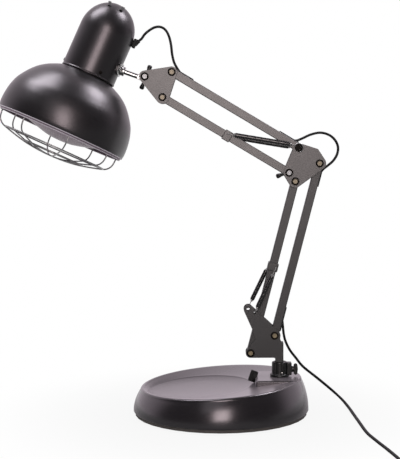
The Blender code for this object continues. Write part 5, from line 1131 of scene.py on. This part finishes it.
def make_bulb():
    shape = [(BULB_RADIUS * share, BULB_LENGTH * along - BULB_FACE, 0.0)
             for along, share in BULB_SHARES]
    lens_end = BULB_LENGTH * BULB_LENS_SHARE - BULB_FACE
    rows = [(max(radius, 0.0), height, 0 if height < lens_end else 1)
            for radius, height, _ in catmull(shape, 5)]
    rows[0] = (0.0, -BULB_FACE, 0)
    neck = BULB_RADIUS * BULB_SHARES[-1][1]
    start = BULB_LENGTH * BULB_SHARES[-1][0] - BULB_FACE
    end = BULB_LENGTH * 0.969 - BULB_FACE
    tip = BULB_LENGTH - BULB_FACE
    for index in range(BULB_THREADS + 1):
        rows.append((neck - (0.0006 if index % 2 else 0.0),
                     start + (end - start) * (index / BULB_THREADS), 2))
    rows += [(neck * 0.7, end + 0.002, 2), (neck * 0.4, tip, 2), (0.0, tip, 2)]
    piece(lathe("reflector_bulb", rows, HOUSING_FRAME, "lens", "glass", "steel"), "head",
          "bulb_glass", "heat_bulb")


def make_guard():
    """Four wires across, each from rim to rim, welded to three rings."""
    wire = 0.0009
    bm = bmesh.new()
    for radius, depth in ((0.0770, -0.0015), (0.0655, 0.0200), (0.0400, 0.0264)):
        ring_into(bm, radius, depth, wire, 96, 10)
    half = ((0.0762, -0.0015), (0.0762, 0.0060), (0.0752, 0.0120), (0.0722, 0.0166),
            (0.0655, 0.0205), (0.0400, 0.0272), (0.0200, 0.0301))
    row = [*half, (0.0, 0.0310), *((-radius, depth) for radius, depth in reversed(half))]
    for number in range(4):
        angle = math.radians(29.4) + math.pi * number / 4.0
        points = [HEAD_FRAME @ Vector((radius * math.cos(angle), -radius * math.sin(angle),
                                       -depth)) for radius, depth in row]
        sweep_into(bm, evenly(catmull(points, 12), 0.003), circle(wire))
    piece(object_from(bm, "bulb_guard", "wire", angle=60.0), "head", "guard_wire", "wire_guard")


def rod_at(radius):
    """How far along the rod, from its foot, the housing has this radius."""
    foot = HOUSING_FRAME.inverted() @ ROD_FOOT
    along = HOUSING_FRAME.inverted().to_3x3() @ (-ROD_WAY)
    return (radius - foot.x) / along.x


def make_rod():
    length = rod_at(HOUSING_RADIUS - 0.0026) + 0.0018
    bm = bmesh.new()
    turned(bm, ((0.0, 0.0), (0.0046, 0.0), (0.0050, 0.0004), (0.0050, 0.0014), (0.0030, 0.0018),
                (0.0030, length - 0.0070), (0.0034, length - 0.0066), (0.0034, length - 0.0050),
                (0.0030, length - 0.0046), (0.0030, length), (0.0, length)),
           frame_at(ROD_FOOT - ROD_WAY * length, ROD_WAY), 32)
    low = ROD_FOOT - ROD_WAY * 0.0062
    prism_into(bm, belt((xz(T, 0.0062), xz(low, 0.0030))), -0.0050, 0.0050, 0.0006)
    piece(object_from(bm, "chrome_rod", "chrome"), "tilt_link", "chrome", "tilt_rod")


def make_saddle():
    """Curved pad that hugs the housing, with the rod's collar and two rivets on it."""
    spot = HOUSING_FRAME.inverted() @ (ROD_FOOT - ROD_WAY * rod_at(SADDLE_SEAT))
    bm = bmesh.new()
    rings = []
    pad = squircle(0.0150 / SADDLE_SEAT, 0.0080, 40, 0.55)
    for share, proud in ((0.0, 0.0), (0.5, 0.0), (1.0, 0.0), (1.0, 0.0012), (0.97, 0.0016),
                         (0.5, 0.0016), (0.0, 0.0016)):
        radius = SADDLE_SEAT + proud
        ring = [(turn * share, lift * share) for turn, lift in pad] if share else [(0.0, 0.0)]
        rings.append([bm.verts.new(HOUSING_FRAME @ Vector((
            radius * math.cos(turn), radius * math.sin(turn), spot.z + lift)))
            for turn, lift in ring])
    skin(bm, rings, False)
    turned(bm, ((0.0031, 0.0), (0.0060, 0.0), (0.0058, 0.0014), (0.0054, 0.0020), (0.0058, 0.0026),
                (0.0058, 0.0042), (0.0052, 0.0048), (0.0031, 0.0048)),
           frame_at(ROD_FOOT - ROD_WAY * rod_at(SADDLE_SEAT + 0.0006), ROD_WAY), 40, True)
    for angle in (-0.30, 0.30):
        out = Vector((math.cos(angle), math.sin(angle), 0.0))
        place = out * (SADDLE_SEAT + 0.0015) + Z_AXIS * (spot.z - 0.0002)
        turned(bm, ((0.0, 0.0), (0.0019, 0.0), (0.0017, 0.0008), (0.0010, 0.0012), (0.0, 0.0013)),
               HOUSING_FRAME @ frame_at(place, out), 20)
    piece(object_from(bm, "chrome_saddle", "chrome"), "head", "chrome", "rod_saddle")


def make_boot():
    bm = bmesh.new()
    box_into(bm, (SADDLE_SEAT, -0.0048, CORD_ENTRY - 0.0056),
             (SADDLE_SEAT + 0.0045, 0.0048, CORD_ENTRY + 0.0056), HOUSING_FRAME, 0.0011, 0, 3)
    turned(bm, ((0.0, -0.001), (0.0030, -0.001), (0.0028, 0.0012), (0.0025, 0.0034),
                (0.0024, 0.0060), (0.0, 0.0061)), frame_at(SPOUT_FOOT, CORD_WAY), 28)
    pin(bm, 0.0036, 0.0, 0.003,
        HOUSING_FRAME @ frame_at((HOUSING_RADIUS - 0.0014, 0.0, CORD_ENTRY), X_AXIS))
    piece(object_from(bm, "cord_boot", "rubber"), "head", "rubber", "cord_grommet")


def make_neck_screws():
    for number in range(3):
        angle = math.radians(-61.0) + 2.0 * math.pi * number / 3
        out = Vector((math.cos(angle), math.sin(angle), 0.0))
        seat = out * (HOUSING_RADIUS + 0.0001) + Z_AXIS * (HOUSING_BASE + 0.0068)
        placed = HOUSING_FRAME @ frame_at(seat, out)
        screw = lathe("neck_screw_%d" % (number + 1), (
            (0.0, -0.0075), (0.0013, -0.0075), (0.0013, 0.0), (0.0021, 0.0), (0.0022, 0.0004),
            (0.0018, 0.0009), (0.0009, 0.0012), (0.0, 0.0012)), placed, "washer", segments=24)
        for turn in (0.4, 0.4 + math.pi / 2.0):
            tool = bmesh.new()
            box_into(tool, (-0.0013, -0.00025, 0.0006), (0.0013, 0.00025, 0.002),
                     placed @ Matrix.Rotation(turn, 4, "Z"))
            cut(screw, tool)
        piece(screw, "head", "steel", "shade_screw_%d" % (number + 1))


def dress_kept_nodes():
    """Hidden or plain pieces that keep their CAD shape get their own finish."""
    looks = {"base_pad": "rubber", "base_plate": "plate", "base_weight": "steel",
             "switch_body": "plastic", "socket_nut": "steel", "lamp_holder": "ceramic"}
    for node, look in looks.items():
        for material_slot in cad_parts[node].material_slots:
            material_slot.material = LOOKS[look]


# Floor, background and lamps

def eased(tree, value, start, end, before, after):
    """Number that eases from one level to another while the value goes from start to end."""
    stretch = {"Value": value, "From Min": start, "From Max": end, "To Min": before,
               "To Max": after}
    return add(tree, "MapRange", stretch, interpolation_type="SMOOTHSTEP").outputs["Result"]


def maths(tree, operation, one, two):
    return add(tree, "Math", {0: one, 1: two}, operation=operation).outputs[0]


def background_rays(tree, place):
    """1 for camera and transmission rays, and for glossy rays beyond the lamp; else 0."""
    y = add(tree, "SeparateXYZ", {"Vector": place}).outputs["Y"]
    path = add(tree, "LightPath").outputs
    mirrored = maths(tree, "MULTIPLY", path["Is Glossy Ray"], eased(tree, y, 0.0, 0.4, 0.0, 1.0))
    seen = maths(tree, "MAXIMUM", path["Is Camera Ray"], mirrored)
    return maths(tree, "MAXIMUM", seen, path["Is Transmission Ray"])


def make_floor():
    """Floor that is white as a background, and greyer near the base: painted shade, in which the
    base's real shadow also shows.
    """
    mesh = bpy.data.meshes.new("floor")
    corners = ((-1, -1), (1, -1), (1, 1), (-1, 1))
    mesh.from_pydata([(x * FLOOR_HALF, y * FLOOR_HALF, 0.0) for x, y in corners], [],
                     [(0, 1, 2, 3)])
    floor = bpy.data.objects.new("floor", mesh)
    SCENE.collection.objects.link(floor)
    floor.location.z = FLOOR_HEIGHT
    pale = bpy.data.materials.new("pale_floor")
    pale.use_nodes = True
    tree = pale.node_tree
    tree.nodes.clear()
    place = add(tree, "TexCoord").outputs["Object"]
    reach = add(tree, "VectorMath", {0: place}, operation="LENGTH").outputs["Value"]
    # Painted shade: the floor's white glow is turned down near the base
    share = eased(tree, reach, SHADOW_REACH, SHADOW_END, SHADOW_GLOW, 1.0)
    diffuse = add(tree, "BsdfDiffuse", {"Color": FLOOR_GREY}).outputs["BSDF"]
    glow = add(tree, "Emission", {"Color": WHITE}).outputs["Emission"]
    seen = maths(tree, "MULTIPLY", share, background_rays(tree, place))
    mix = add(tree, "MixShader", {"Fac": seen, 1: diffuse, 2: glow}).outputs["Shader"]
    add(tree, "OutputMaterial", {"Surface": mix})
    mesh.materials.append(pale)


def make_sky():
    world = bpy.data.worlds.new("studio")
    SCENE.world = world
    world.use_nodes = True
    tree = world.node_tree
    tree.nodes.clear()
    toward = add(tree, "TexCoord").outputs["Generated"]
    y = add(tree, "SeparateXYZ", {"Vector": toward}).outputs["Y"]
    mirrored = eased(tree, y, MIRROR_NEAR, MIRROR_FAR, NEAR_SIDE_LEVEL, 1.0)
    path = add(tree, "LightPath").outputs
    level = SKY_LEVEL
    for ray, seen in (("Is Camera Ray", 1.0), ("Is Transmission Ray", 1.0),
                      ("Is Glossy Ray", mirrored)):
        mix = add(tree, "Mix", {"Factor": path[ray], "A": level, "B": seen})
        level = mix.outputs["Result"]
    tone = add(tree, "Mix", {0: path["Is Glossy Ray"], 6: WHITE, 7: (*MIRRORED_TONE, 1.0)},
               data_type="RGBA").outputs[2]
    sky = add(tree, "Background", {"Color": tone, "Strength": level}).outputs["Background"]
    add(tree, "OutputWorld", {"Surface": sky})


def make_lamp(name, place, aim, size, radiance, colour, card=False):
    """Soft box of a given radiance. A card shows in reflections and adds no light."""
    data = bpy.data.lights.new(name, "AREA")
    data.shape = "RECTANGLE"
    data.size, data.size_y = size
    data.energy = radiance * math.pi * size[0] * size[1]
    data.color = colour
    lamp = bpy.data.objects.new(name, data)
    SCENE.collection.objects.link(lamp)
    lamp.matrix_world = frame_at(place, Vector(place) - Vector(aim), X_AXIS)
    lamp.visible_camera = False
    lamp.visible_diffuse = not card
    return lamp


def link_base(lamp, state):
    """Shows a card in the base alone (INCLUDE) or in everything but the base (EXCLUDE)."""
    base = bpy.data.collections.new(lamp.name + "_base")
    for name in ("shell", "plinth"):
        base.objects.link(bpy.data.objects[name])
    for member in base.collection_objects:
        member.light_linking.link_state = state
    lamp.light_linking.receiver_collection = base


def make_lamps():
    for name, toward, size, radiance in (
            ("left_card", (-0.36, 0.0, 0.933), (1.05, 0.8), 14.5),
            ("right_card", (0.684, 0.10, 0.722), (0.6, 0.6), 21.0)):
        make_lamp(name, HEAD_MIDDLE + Vector(toward) * CARD_DISTANCE, HEAD_MIDDLE, size,
                  radiance, CARD_TONE, card=True)
    front = make_lamp("front_card", (0.0, -1.6, 0.66), (0.0, 0.0, 0.4), (0.54, 0.9), 14.0,
                      (1.0, 0.88, 0.86), card=True)
    link_base(front, "EXCLUDE")
    wall = make_lamp("wall_card", (0.0, -1.5, 0.44), (0.0, 0.0, 0.03), (0.5, 0.56), 8.5,
                     (1.0, 0.90, 0.88), card=True)
    link_base(wall, "INCLUDE")
    make_lamp("front_fill", (-0.5, -2.0, 1.6), (0.0, 0.0, 0.25), (1.2, 1.2), 0.8,
              (1.0, 1.0, 1.0))


for make in (make_camera, make_cords, make_shell, make_plinth, make_knob, make_socket, make_clamp,
             make_pin_block, make_arm, make_shade, make_housing, make_bulb, make_guard, make_rod,
             make_saddle, make_boot, make_neck_screws, dress_kept_nodes, make_floor, make_sky,
             make_lamps):
    make()
